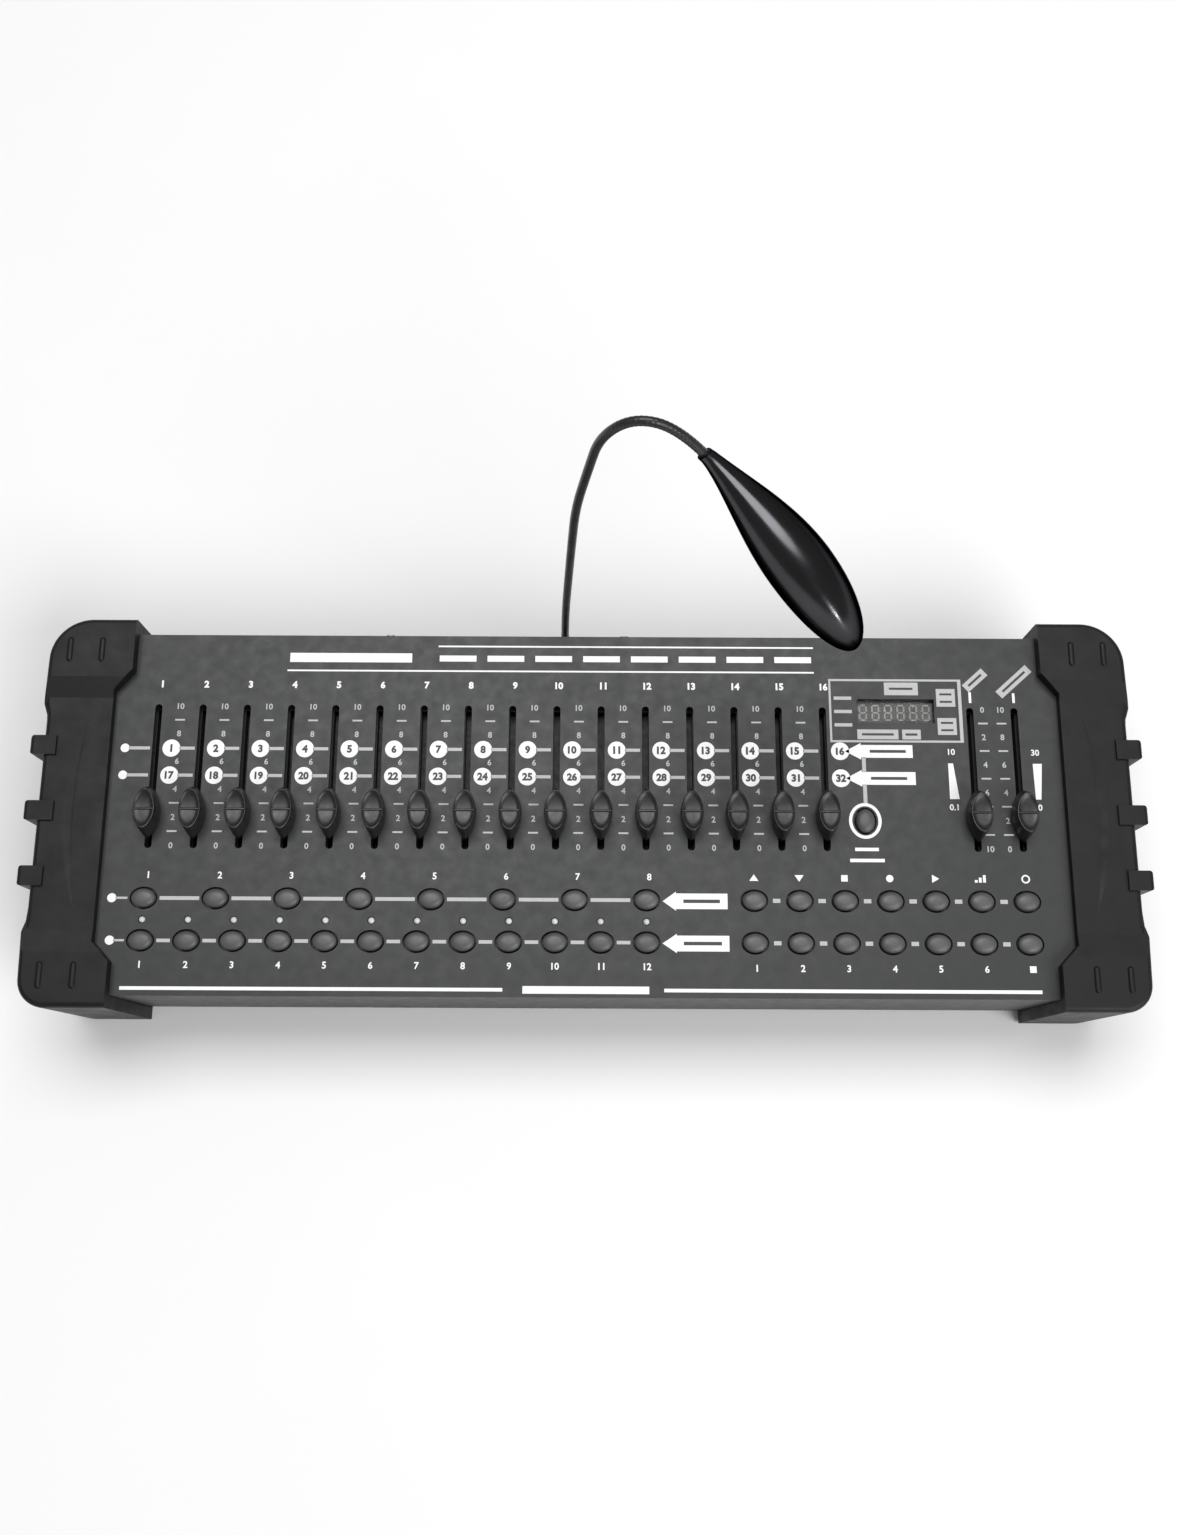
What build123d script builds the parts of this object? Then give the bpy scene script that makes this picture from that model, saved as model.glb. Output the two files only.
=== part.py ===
from build123d import *
import math
import os

# Lighting control desk with sixteen channel faders, speed and fade faders, press buttons and a
# gooseneck lamp on its rear panel. Millimetres. +Z is up, +X is to the operator's right and +Y
# runs from the operator to the rear panel. The origin is at the middle of the desk's footprint,
# on the surface that it stands on.

# ---- driving dimensions ----
CHASSIS_WIDTH = 482.6          # sheet metal box, a 19 inch width
CHASSIS_DEPTH = 172.0
SHEET = 1.2                    # sheet metal thickness
PANEL_TOP = 68.0               # height of the control panel's surface
BASE_BOTTOM = 5.0              # underside of the sheet metal box
CAP_DEPTH = 184.0              # end caps, front to rear
CAP_HALF_WIDTH = 256.0         # corner blocks' outer faces, from the middle
CAP_WAIST_HALF_WIDTH = 254.6   # outer faces between the corner blocks
CAP_RIB_HALF_WIDTH = 260.4     # outer faces of the grip ribs
CAP_TOP = 74.4                 # top of the corner blocks
CAP_WAIST_TOP = 72.4           # top between the corner blocks
CAP_BOTTOM = 1.5
CAP_CORNER_INNER = 215.0       # inner edges of the corner blocks
CAP_WAIST_INNER = 223.5        # inner edge between the corner blocks
FADER_PITCH = 21.0
FADER_TRAVEL = 60.0
FADER_SLOT_LENGTH = 69.5
FADER_SLOT_WIDTH = 3.4
FADER_SLOT_Y = 16.5            # middle of the fader slots
FADER_REST_Y = -1.8            # where the fader knobs are left
FIRST_FADER_X = -203.0
SPEED_FADER_X = 182.0
FADE_FADER_X = 203.0
BUTTON_LONG = 11.0             # button cap, an oval
BUTTON_SHORT = 8.6
BUTTON_HOLE_GAP = 0.95         # between a cap and its hole, all round
BUTTON_TRAVEL = 1.0
SCENE_ROW_Y = -41.5
SCANNER_ROW_Y = -61.0
SCENE_PITCH = 33.0
FUNCTION_FIRST_X = 77.6
FUNCTION_PITCH = 20.9
PAGE_BUTTON_X = 130.2
PAGE_BUTTON_Y = -3.9
LED_ROW_Y = -51.4
DISPLAY_X = 146.9
DISPLAY_Y = 49.6
DISPLAY_CUTOUT = (36.6, 11.6)
GOOSENECK_DIAMETER = 3.8
HEAD_RADIUS = 13.0             # lamp head at its widest
HEAD_WIDEST = 0.64             # where that is, as a share of its length from the neck

# ---- derived dimensions ----
PANEL_UNDERSIDE = PANEL_TOP - SHEET
HALF_WIDTH = CHASSIS_WIDTH / 2
HALF_DEPTH = CHASSIS_DEPTH / 2
REAR_WALL_INSIDE = HALF_DEPTH - SHEET
FLOOR_TOP = BASE_BOTTOM + SHEET
BOARD_TOP = 54.0
BOARD_THICKNESS = 1.6
CONNECTOR_BOARD_TOP = 12.8
CHANNELS = 16
SCENES = 8
SCANNERS = 12
FUNCTIONS = 7
CHANNEL_X = [FIRST_FADER_X + FADER_PITCH * i for i in range(CHANNELS)]
FADER_X = CHANNEL_X + [SPEED_FADER_X, FADE_FADER_X]
SCENE_X = [FIRST_FADER_X + SCENE_PITCH * i for i in range(SCENES)]
SCANNER_X = [FIRST_FADER_X + FADER_PITCH * i for i in range(SCANNERS)]
FUNCTION_X = [FUNCTION_FIRST_X + FUNCTION_PITCH * i for i in range(FUNCTIONS)]
CHASE_X = FUNCTION_X[:-1]
BLACKOUT_X = FUNCTION_X[-1]

# ---- rear panel places, as (x, z) ----
DMX_OUT = (-190.0, 36.0)
DMX_LINK = (-152.0, 36.0)
POLARITY = (-118.0, 24.0)
LAMP_SOCKET = (-11.0, 22.0)
MIDI = (52.0, 24.0)
AUDIO = (92.0, 24.0)
DC_INLET = (165.0, 22.0)
POWER_SWITCH = (196.0, 34.0)
XLR_RADIUS = 11.8
XLR_FLANGE = (26.0, 31.0)
XLR_SCREW_OFFSET = (9.5, 12.0)
XLR_FLANGE_OUTSIDE = HALF_DEPTH + 2.0
POWER_CUTOUT = (13.4, 19.6)
ROCKER_RADIUS = 7.6            # half the rocker's height
ROCKER_TILT = 9.0              # degrees, either way from upright
MIDI_RADIUS = 7.6
AUDIO_NUT_RADIUS = 5.6
AUDIO_BORE_RADIUS = 3.2
AUDIO_BORE_LENGTH = 26.0
LAMP_SOCKET_RADIUS = 6.0
DC_RADIUS = 4.0

# ---- fasteners: sizes, and lists of places ----
SCREW_HOLE_RADIUS = 1.6
SCREW_SHANK_RADIUS = 1.5
SCREW_HEAD_RADIUS = 3.0
REAR_SCREWS = [(-95.0, 61.0), (18.0, 61.0), (130.0, 61.0)]
FLOOR_SCREWS = [(-190.0, -79.5), (-60.0, -79.5), (60.0, -79.5), (190.0, -79.5)]
CAP_SCREWS = [(sx * 232.0, sy * 60.0) for sx in (-1, 1) for sy in (-1, 1)]
PANEL_POSTS = [(-181.5, -29.5), (-34.5, -29.5), (98.0, -29.5), (214.0, -29.5)]
PANEL_POSTS += [(-213.5, 61.5), (-76.0, 61.5), (70.0, 61.5), (214.0, 61.5)]
FLOOR_POSTS = [(x, y) for x in (-205.0, -60.0, 110.0) for y in (46.0, 72.0)]
FEET = [(sx * 195.0, sy * 62.0) for sx in (-1, 1) for sy in (-1, 1)]

# ---- gooseneck route, points along the middle of the tube ----
NECK_BASE = [(-11.0, 96.0, 32.0), (-10.9, 96.0, 45.0)]
NECK_LOWER = [(-10.9, 96.0, 45.0), (-10.0, 96.6, 80.0), (-7.6, 97.0, 130.0), (-6.2, 97.2, 158.0)]
NECK_UPPER = [
    (-6.2, 97.2, 158.0),
    (-4.4, 97.4, 191.0),
    (0.6, 97.6, 225.0),
    (4.8, 97.6, 251.6),
    (16.6, 97.4, 266.0),
    (32.0, 95.6, 262.0),
    (42.2, 92.0, 249.6),
]
HEAD_NECK = Vector(42.2, 92.0, 249.6)
HEAD_TIP = Vector(107.6, 44.6, 173.0)
HEAD_LENGTH = (HEAD_TIP - HEAD_NECK).length


def block(x0, x1, y0, y1, z0, z1):
    """A box between two corners."""
    middle = Pos((x0 + x1) / 2, (y0 + y1) / 2, (z0 + z1) / 2)
    return middle * Box(x1 - x0, y1 - y0, z1 - z0)


def post(x, y, z0, z1, radius):
    """An upright round post."""
    return Pos(x, y, (z0 + z1) / 2) * Cylinder(radius, z1 - z0)


def rod_y(x, z, y0, y1, radius):
    """A round rod that points to the rear."""
    return Pos(x, (y0 + y1) / 2, z) * Rot(90, 0, 0) * Cylinder(radius, y1 - y0)


def oval(x, y, z0, z1, long, short, upright=False):
    """An upright prism on an oval, its long side across the desk, or front to rear if upright."""
    width, depth = (short, long) if upright else (long, short)
    return extrude(Pos(x, y, z0) * Ellipse(width / 2, depth / 2), z1 - z0)


def save(name, *solids):
    """Write one node's solids to its own file."""
    shape = solids[0] if len(solids) == 1 else Compound(children=list(solids))
    shape.label = name
    export_step(shape, f"parts/{name}.step")


# ---- sheet metal ----
def top_panel():
    """Folded cover: control panel, front wall with a return flange, and a flange at the rear."""
    sheet = Rectangle(CHASSIS_WIDTH, CHASSIS_DEPTH)
    slot = SlotOverall(FADER_SLOT_LENGTH, FADER_SLOT_WIDTH, rotation=90)
    for x in FADER_X:
        sheet -= Pos(x, FADER_SLOT_Y) * slot
    hole_long = BUTTON_LONG / 2 + BUTTON_HOLE_GAP
    hole_short = BUTTON_SHORT / 2 + BUTTON_HOLE_GAP
    hole = Ellipse(hole_long, hole_short)
    rows = [(x, SCENE_ROW_Y) for x in SCENE_X + FUNCTION_X]
    rows += [(x, SCANNER_ROW_Y) for x in SCANNER_X + FUNCTION_X]
    for x, y in rows:
        sheet -= Pos(x, y) * hole
    sheet -= Pos(PAGE_BUTTON_X, PAGE_BUTTON_Y) * Ellipse(hole_short, hole_long)
    for x in SCANNER_X:
        sheet -= Pos(x, LED_ROW_Y) * Circle(1.8)
    sheet -= Pos(DISPLAY_X, DISPLAY_Y) * Rectangle(*DISPLAY_CUTOUT)
    plate = extrude(Pos(0, 0, PANEL_UNDERSIDE) * sheet, SHEET)
    front_y = -HALF_DEPTH
    front = block(-HALF_WIDTH, HALF_WIDTH, front_y, front_y + SHEET, BASE_BOTTOM, PANEL_UNDERSIDE)
    flange_side = HALF_WIDTH - 2 * SHEET
    flange_top = FLOOR_TOP + SHEET
    front_flange = block(-flange_side, flange_side, front_y + SHEET, -74.0, FLOOR_TOP, flange_top)
    rear_y = REAR_WALL_INSIDE - 0.1
    rear_flange = block(-flange_side, flange_side, rear_y - SHEET, rear_y, 56.0, PANEL_UNDERSIDE)
    panel = plate + front + front_flange + rear_flange
    for x, y in FLOOR_SCREWS:
        panel -= post(x, y, FLOOR_TOP - 1, FLOOR_TOP + 3, SCREW_HOLE_RADIUS)
    for x, z in REAR_SCREWS:
        panel -= rod_y(x, z, rear_y - 3, rear_y + 1, SCREW_HOLE_RADIUS)
    return panel


def base_tray():
    """Folded tray: floor, side walls, and a rear wall with the connector cut-outs."""
    front_y = -HALF_DEPTH + SHEET + 0.1
    tray = block(-HALF_WIDTH, HALF_WIDTH, front_y, HALF_DEPTH, BASE_BOTTOM, FLOOR_TOP)
    tray += block(-HALF_WIDTH, HALF_WIDTH, REAR_WALL_INSIDE, HALF_DEPTH, FLOOR_TOP, PANEL_UNDERSIDE)
    for side in (-1, 1):
        x0, x1 = sorted((side * HALF_WIDTH, side * (HALF_WIDTH - SHEET)))
        tray += block(x0, x1, front_y, REAR_WALL_INSIDE, FLOOR_TOP, PANEL_UNDERSIDE - 0.1)
    y0, y1 = REAR_WALL_INSIDE - 1, HALF_DEPTH + 1
    for x, z in (DMX_OUT, DMX_LINK):
        tray -= rod_y(x, z, y0, y1, XLR_RADIUS + 0.2)
        for sx, sz in xlr_screw_places(x, z):
            tray -= rod_y(sx, sz, y0, y1, SCREW_HOLE_RADIUS)
    tray -= rod_y(*MIDI, y0, y1, MIDI_RADIUS + 0.2)
    tray -= rod_y(*AUDIO, y0, y1, AUDIO_NUT_RADIUS + 0.2)
    tray -= rod_y(*LAMP_SOCKET, y0, y1, LAMP_SOCKET_RADIUS + 0.15)
    tray -= rod_y(*DC_INLET, y0, y1, DC_RADIUS + 0.2)
    x, z = POLARITY
    tray -= block(x - 4.2, x + 4.2, y0, y1, z - 2.2, z + 2.2)
    x, z = POWER_SWITCH
    width, height = POWER_CUTOUT
    tray -= block(x - width / 2, x + width / 2, y0, y1, z - height / 2, z + height / 2)
    for x, z in REAR_SCREWS:
        tray -= rod_y(x, z, y0, y1, SCREW_HOLE_RADIUS)
    for x, y in FLOOR_SCREWS + CAP_SCREWS + FLOOR_POSTS:
        tray -= post(x, y, BASE_BOTTOM - 1, FLOOR_TOP + 1, SCREW_HOLE_RADIUS)
    for column in range(-4, 5):
        vent = Pos(column * 14.0, -10.0, BASE_BOTTOM - 1) * SlotOverall(46, 3.2, rotation=90)
        tray -= extrude(vent, SHEET + 2)
    return tray


# ---- end caps ----
def cap_outline():
    """The right end cap's outline from above, with rounded outer corners."""
    half = CAP_DEPTH / 2
    shoulder = 0.8
    corner_y = 50.0
    points = [
        (CAP_CORNER_INNER, half),
        (CAP_HALF_WIDTH - shoulder, half),
        (CAP_HALF_WIDTH, corner_y),
        (CAP_WAIST_HALF_WIDTH, corner_y - 5),
        (CAP_WAIST_HALF_WIDTH, -corner_y - 3),
        (CAP_HALF_WIDTH, -corner_y - 8),
        (CAP_HALF_WIDTH - shoulder, -half),
        (CAP_CORNER_INNER, -half),
        (CAP_CORNER_INNER, -71.0),
        (CAP_WAIST_INNER, -62.0),
        (CAP_WAIST_INNER, 57.0),
        (CAP_CORNER_INNER, 67.0),
    ]
    face = make_face(Polyline(*points, close=True))
    for side, radius in ((1, 20.0), (-1, 13.0)):
        corner = face.vertices().filter_by(lambda v: v.X > CAP_HALF_WIDTH - 1 and side * v.Y > half - 1)
        face = fillet(corner, radius)
    return face


def waist_saddle():
    """The space between the corner blocks, whose ends slope like ramps and reach below the waist's top."""
    above, below = CAP_TOP + 5.0, CAP_WAIST_TOP - 4.0
    ramp_rear, ramp_front, slope = 63.0, -67.0, 0.2
    run = (CAP_TOP - below) / slope
    profile = [
        (ramp_rear, above),
        (ramp_rear, CAP_TOP),
        (ramp_rear - run, below),
        (ramp_front + run, below),
        (ramp_front, CAP_TOP),
        (ramp_front, above),
    ]
    face = make_face(Polyline(*[(CAP_CORNER_INNER - 5, y, z) for y, z in profile], close=True))
    return extrude(face, amount=60, dir=(1, 0, 0))


def crescent_groove():
    """Crescent cut into the waist: a steep inner side, and a floor that rises to the outer side."""
    tips_x, tips_y = 233.2, 47.0
    outer_x, inner_x, middle_y = 241.8, 237.4, -1.0
    slope, reach = 0.42, 8.0
    outer_bow, inner_bow = outer_x - tips_x, inner_x - tips_x
    outer_radius = tips_y ** 2 / (2 * outer_bow) + outer_bow / 2
    inner_radius = tips_y ** 2 / (2 * inner_bow) + inner_bow / 2
    lift = 0.5
    rim, root = outer_radius + lift / slope, outer_radius - reach
    section = make_face(
        Polyline(
            (rim, 0, CAP_WAIST_TOP + lift),
            (root, 0, CAP_WAIST_TOP + lift),
            (root, 0, CAP_WAIST_TOP - slope * reach),
            close=True,
        )
    )
    ring = Pos(outer_x - outer_radius, middle_y, 0) * revolve(section, Axis.Z)
    core = Pos(inner_x - inner_radius, middle_y, CAP_WAIST_TOP) * Cylinder(inner_radius, 40)
    return ring - core


def rounded_slab(top):
    """The end cap's outline raised to a height, its outer upper rim rounded."""
    slab = extrude(Pos(0, 0, CAP_BOTTOM) * cap_outline(), top - CAP_BOTTOM)
    rims = slab.edges().filter_by(Plane.XY)
    rims = rims.filter_by(lambda e: e.center().X > CAP_CORNER_INNER + 12 and e.center().Z > top - 0.1)
    return fillet(rims, 2.6)


def end_cap_right():
    """Moulded bumper that slides over the right end of the sheet metal box."""
    cap = rounded_slab(CAP_WAIST_TOP) + (rounded_slab(CAP_TOP) - waist_saddle())
    rib_half, rib_bottom, rib_top = 4.6, 12.0, CAP_WAIST_TOP + 1.4
    for y, inward in ((29.7, 248.0), (-1.6, 246.5), (-32.2, 248.5)):
        rib = block(inward, CAP_RIB_HALF_WIDTH, y - rib_half, y + rib_half, rib_bottom, rib_top)
        outer = rib.edges().filter_by(lambda e: e.center().X > CAP_RIB_HALF_WIDTH - 0.1)
        cap += fillet(outer, 2.2)
    for x in (230.2, 245.4):
        for y in (76.3, -77.5):
            cap += bead(x, y)
    cap -= crescent_groove()
    clear = 0.3
    end = HALF_WIDTH + clear
    depth = HALF_DEPTH + clear
    inner = block(200.0, end, -depth, depth, BASE_BOTTOM - clear, PANEL_TOP + clear)
    pocket = block(end, 251.0, -78.0, 78.0, 6.0, 67.0)
    cap = cap - inner - pocket
    for x, y in CAP_SCREWS:
        if x > 0:
            cap -= post(x, y, 0.0, BASE_BOTTOM, 1.9)
            cap -= post(x, y, 0.0, 3.6, 3.4)
    return cap


def bead(x, y):
    """Round-topped grip bead on a corner block, front to rear."""
    radius, length, proud = 1.6, 12.5, 0.9
    z = CAP_TOP + proud - radius
    straight = length / 2 - radius
    shape = rod_y(x, z, y - straight, y + straight, radius)
    for end in (-1, 1):
        shape += Pos(x, y + end * straight, z) * Sphere(radius)
    return shape


# ---- boards and inner parts ----
def control_board():
    """Circuit board under the control panel."""
    return block(-222.0, 222.0, -76.0, 66.0, BOARD_TOP - BOARD_THICKNESS, BOARD_TOP)


def connector_board():
    """Circuit board on the floor, along the rear wall."""
    return block(-215.0, 190.0, 42.0, 84.0, CONNECTOR_BOARD_TOP - BOARD_THICKNESS, CONNECTOR_BOARD_TOP)


def fader_tracks():
    """Slide potentiometer bodies, each with an open channel for its fader's lever."""
    tracks = []
    for x in FADER_X:
        body = block(x - 4.5, x + 4.5, FADER_SLOT_Y - 40, FADER_SLOT_Y + 40, BOARD_TOP, 62.5)
        half = FADER_TRAVEL / 2 + 3.4
        channel = block(x - 1.6, x + 1.6, FADER_SLOT_Y - half, FADER_SLOT_Y + half, 57.0, 64.0)
        tracks.append(body - channel)
    return tracks


def button_places():
    """Every button as (x, y, upright)."""
    places = [(x, SCENE_ROW_Y, False) for x in SCENE_X + FUNCTION_X]
    places += [(x, SCANNER_ROW_Y, False) for x in SCANNER_X + FUNCTION_X]
    return places + [(PAGE_BUTTON_X, PAGE_BUTTON_Y, True)]


def button_switches():
    """Tactile switches under the buttons, each open in the middle for a button's stem."""
    switches = []
    for x, y, _ in button_places():
        body = block(x - 3.1, x + 3.1, y - 3.1, y + 3.1, BOARD_TOP, 57.6)
        switches.append(body - post(x, y, 54.8, 58.0, 2.1))
    return switches


def display_module():
    """Six-digit display: a dark housing with raised segments."""
    half_width, half_depth = 19.5, 7.0
    top, raised = 64.4, 64.6
    left, right = DISPLAY_X - half_width, DISPLAY_X + half_width
    parts = [block(left, right, DISPLAY_Y - half_depth, DISPLAY_Y + half_depth, BOARD_TOP, top)]
    digit_pitch, long, half_thick = 6.0, 3.1, 0.35
    bar, upright = long / 2 - 0.3, 1.3
    for digit in range(6):
        x = DISPLAY_X + (digit - 2.5) * digit_pitch
        for row in (-1, 0, 1):
            y = DISPLAY_Y + row * (long + 0.5)
            parts.append(block(x - bar, x + bar, y - half_thick, y + half_thick, top, raised))
        for column in (-1, 1):
            sx = x + column * long / 2
            sides = (sx - half_thick, sx + half_thick)
            for row in (-1, 1):
                sy = DISPLAY_Y + row * (long + 0.5) / 2
                parts.append(block(*sides, sy - upright, sy + upright, top, raised))
    return parts


def display_window():
    """Smoked window under the display's cut-out."""
    half_width, half_depth = DISPLAY_CUTOUT[0] / 2 + 1.7, DISPLAY_CUTOUT[1] / 2 + 1.6
    left, right = DISPLAY_X - half_width, DISPLAY_X + half_width
    return block(left, right, DISPLAY_Y - half_depth, DISPLAY_Y + half_depth, 65.2, PANEL_UNDERSIDE)


def scanner_leds():
    """Indicator lamps in their spacers, one over each scanner button."""
    lamps = []
    for x in SCANNER_X:
        lamp = post(x, LED_ROW_Y, BOARD_TOP, 67.4, 1.5)
        lamp += Pos(x, LED_ROW_Y, 67.4) * Sphere(1.5)
        lamps.append(lamp)
    return lamps


def board_standoffs():
    """Posts between the control panel and its board, and under the connector board."""
    posts = [post(x, y, BOARD_TOP, PANEL_UNDERSIDE, 2.8) for x, y in PANEL_POSTS]
    for x, y in FLOOR_POSTS:
        posts.append(post(x, y, FLOOR_TOP, CONNECTOR_BOARD_TOP - BOARD_THICKNESS, 3.0))
    return posts


# ---- moving controls ----
def fader_knob(x):
    """Boat-shaped fader cap with a dished top and a marker ridge, on a flat lever."""
    foot, crown = 69.0, 80.6
    skirt = Pos(x, FADER_REST_Y, foot) * Ellipse(4.9, 12.2)
    middle = Pos(x, FADER_REST_Y, foot + 5.0) * Ellipse(5.3, 11.6)
    rim = Pos(x, FADER_REST_Y, crown) * Ellipse(4.9, 9.6)
    knob = loft([skirt, middle, rim])
    dish_radius = 34.0
    dish = Pos(x, FADER_REST_Y, crown + dish_radius - 1.3) * Rot(0, 90, 0) * Cylinder(dish_radius, 20)
    knob -= dish
    knob += block(x - 4.4, x + 4.4, FADER_REST_Y - 0.4, FADER_REST_Y + 0.4, crown - 2.2, crown - 0.9)
    lever = block(x - 0.9, x + 0.9, FADER_REST_Y - 2.4, FADER_REST_Y + 2.4, 58.0, foot + 1.5)
    return knob + lever


def button(x, y, upright=False):
    """Oval button cap with a domed top, a collar under the panel and a stem."""
    top = 70.4
    cap = oval(x, y, 62.0, top, BUTTON_LONG, BUTTON_SHORT, upright)
    rim = cap.edges().filter_by(lambda e: e.center().Z > top - 0.1)
    cap = fillet(rim, 1.5)
    cap += oval(x, y, 62.0, 63.2, BUTTON_LONG + 4, BUTTON_SHORT + 4, upright)
    return cap + post(x, y, 56.2, 62.0, 1.7)


# ---- rear panel ----
def xlr_screw_places(x, z):
    """The two fixing screws of a round three-pole socket, at opposite corners of its flange."""
    across, up = XLR_SCREW_OFFSET
    return [(x + side * across, z + side * up) for side in (-1, 1)]


def xlr_socket(x, z, pins):
    """Round three-pole panel socket: a recess with pins, or an insulator with three holes."""
    width, height = XLR_FLANGE
    outside = XLR_FLANGE_OUTSIDE
    flange = block(x - width / 2, x + width / 2, HALF_DEPTH, outside, z - height / 2, z + height / 2)
    upright = flange.edges().filter_by(Axis.Y)
    socket = fillet(upright, 3.0)
    socket += rod_y(x, z, 66.0, HALF_DEPTH, XLR_RADIUS)
    socket += block(x - 7.5, x + 7.5, 64.0, REAR_WALL_INSIDE - 0.2, CONNECTOR_BOARD_TOP, z)
    for sx, sz in xlr_screw_places(x, z):
        socket -= rod_y(sx, sz, HALF_DEPTH - 1, outside + 1, SCREW_HOLE_RADIUS)
    places = [(x + 5.0 * math.sin(a), z + 5.0 * math.cos(a)) for a in (math.pi / 2, math.pi, -math.pi / 2)]
    if pins:
        socket -= rod_y(x, z, 73.0, outside + 1, 9.6)
        for px, pz in places:
            socket += rod_y(px, pz, 72.5, 86.0, 1.2)
    else:
        socket -= rod_y(x, z, 74.0, outside + 1, 9.6) - rod_y(x, z, 73.0, outside - 0.6, 7.6)
        for px, pz in places:
            socket -= rod_y(px, pz, 76.0, outside + 1, 1.4)
    return socket


def midi_socket():
    """Five-pole round socket on a square body."""
    x, z = MIDI
    body = block(x - 10, x + 10, 68.0, REAR_WALL_INSIDE - 0.1, CONNECTOR_BOARD_TOP, z + 9.5)
    body += rod_y(x, z, REAR_WALL_INSIDE - 0.1, HALF_DEPTH + 0.8, MIDI_RADIUS)
    body -= rod_y(x, z, 77.0, HALF_DEPTH + 2, 6.8)
    body += rod_y(x, z, 76.5, HALF_DEPTH - 4.5, 5.8)
    for step in range(5):
        a = math.radians(-90 + 45 * step)
        body -= rod_y(x + 3.8 * math.sin(a), z + 3.8 * math.cos(a), 74.0, HALF_DEPTH, 0.8)
    return body


def audio_socket():
    """Audio jack socket with a threaded nose and a round bore."""
    x, z = AUDIO
    body = block(x - 8, x + 8, 56.0, REAR_WALL_INSIDE - 0.1, CONNECTOR_BOARD_TOP, z + 8)
    body += rod_y(x, z, REAR_WALL_INSIDE - 0.1, HALF_DEPTH + 3.0, AUDIO_NUT_RADIUS)
    mouth = HALF_DEPTH + 3.0
    return body - rod_y(x, z, mouth - AUDIO_BORE_LENGTH, mouth, AUDIO_BORE_RADIUS)


def lamp_socket():
    """Round lamp socket that the gooseneck's angled plug sits in."""
    x, z = LAMP_SOCKET
    body = block(x - 7, x + 7, 70.0, REAR_WALL_INSIDE - 0.1, CONNECTOR_BOARD_TOP, z + 7)
    return body + rod_y(x, z, REAR_WALL_INSIDE - 0.1, HALF_DEPTH + 2.2, LAMP_SOCKET_RADIUS)


def dc_inlet():
    """Low-voltage inlet: a round barrel socket with a pin in the middle."""
    x, z = DC_INLET
    body = block(x - 5.5, x + 5.5, 70.0, REAR_WALL_INSIDE - 0.1, CONNECTOR_BOARD_TOP, z + 5.5)
    body += rod_y(x, z, REAR_WALL_INSIDE - 0.1, HALF_DEPTH + 0.6, DC_RADIUS)
    body -= rod_y(x, z, 76.0, HALF_DEPTH + 1, 2.9)
    return body + rod_y(x, z, 75.0, HALF_DEPTH - 0.6, 1.05)


def polarity_switch_body():
    """Slide switch body behind its cut-out."""
    x, z = POLARITY
    body = block(x - 6.5, x + 6.5, 76.5, REAR_WALL_INSIDE - 0.1, CONNECTOR_BOARD_TOP, z + 3.6)
    return body - block(x - 4.0, x + 4.0, 80.0, REAR_WALL_INSIDE + 1, z - 1.9, z + 1.9)


def polarity_switch_slider():
    """The slide switch's thumb piece, at the left end of its travel."""
    x, z = POLARITY
    return block(x - 3.7, x + 0.3, 80.4, HALF_DEPTH + 1.8, z - 1.5, z + 1.5)


def power_switch_frame():
    """Snap-in frame of the power switch."""
    x, z = POWER_SWITCH
    width, height = POWER_CUTOUT
    frame = block(x - width / 2 - 1, x + width / 2 + 1, HALF_DEPTH, HALF_DEPTH + 1.6,
                  z - height / 2 - 1.2, z + height / 2 + 1.2)
    body = block(x - width / 2 + 0.2, x + width / 2 - 0.2, 68.0, HALF_DEPTH,
                 z - height / 2 + 0.2, z + height / 2 - 0.2)
    space = block(x - 5.1, x + 5.1, 74.0, HALF_DEPTH + 2, z - 8.4, z + 8.4)
    return frame + body - space


def power_rocker():
    """Rocker at its off position, turning about a line across the desk."""
    x, z = POWER_SWITCH
    pivot = Pos(x, HALF_DEPTH - 1.0, z) * Rot(ROCKER_TILT, 0, 0)
    half = 4.7
    outline = [
        (-ROCKER_RADIUS, -2.5),
        (ROCKER_RADIUS, -2.5),
        (ROCKER_RADIUS, 4.2),
        (0, 2.6),
        (-ROCKER_RADIUS, 4.2),
    ]
    # the outline is drawn as (up, outward) and turned so that outward is to the rear
    face = make_face(Polyline(*[(0, out, up) for up, out in outline], close=True))
    return pivot * Pos(-half, 0, 0) * extrude(face, amount=2 * half, dir=(1, 0, 0))


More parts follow.
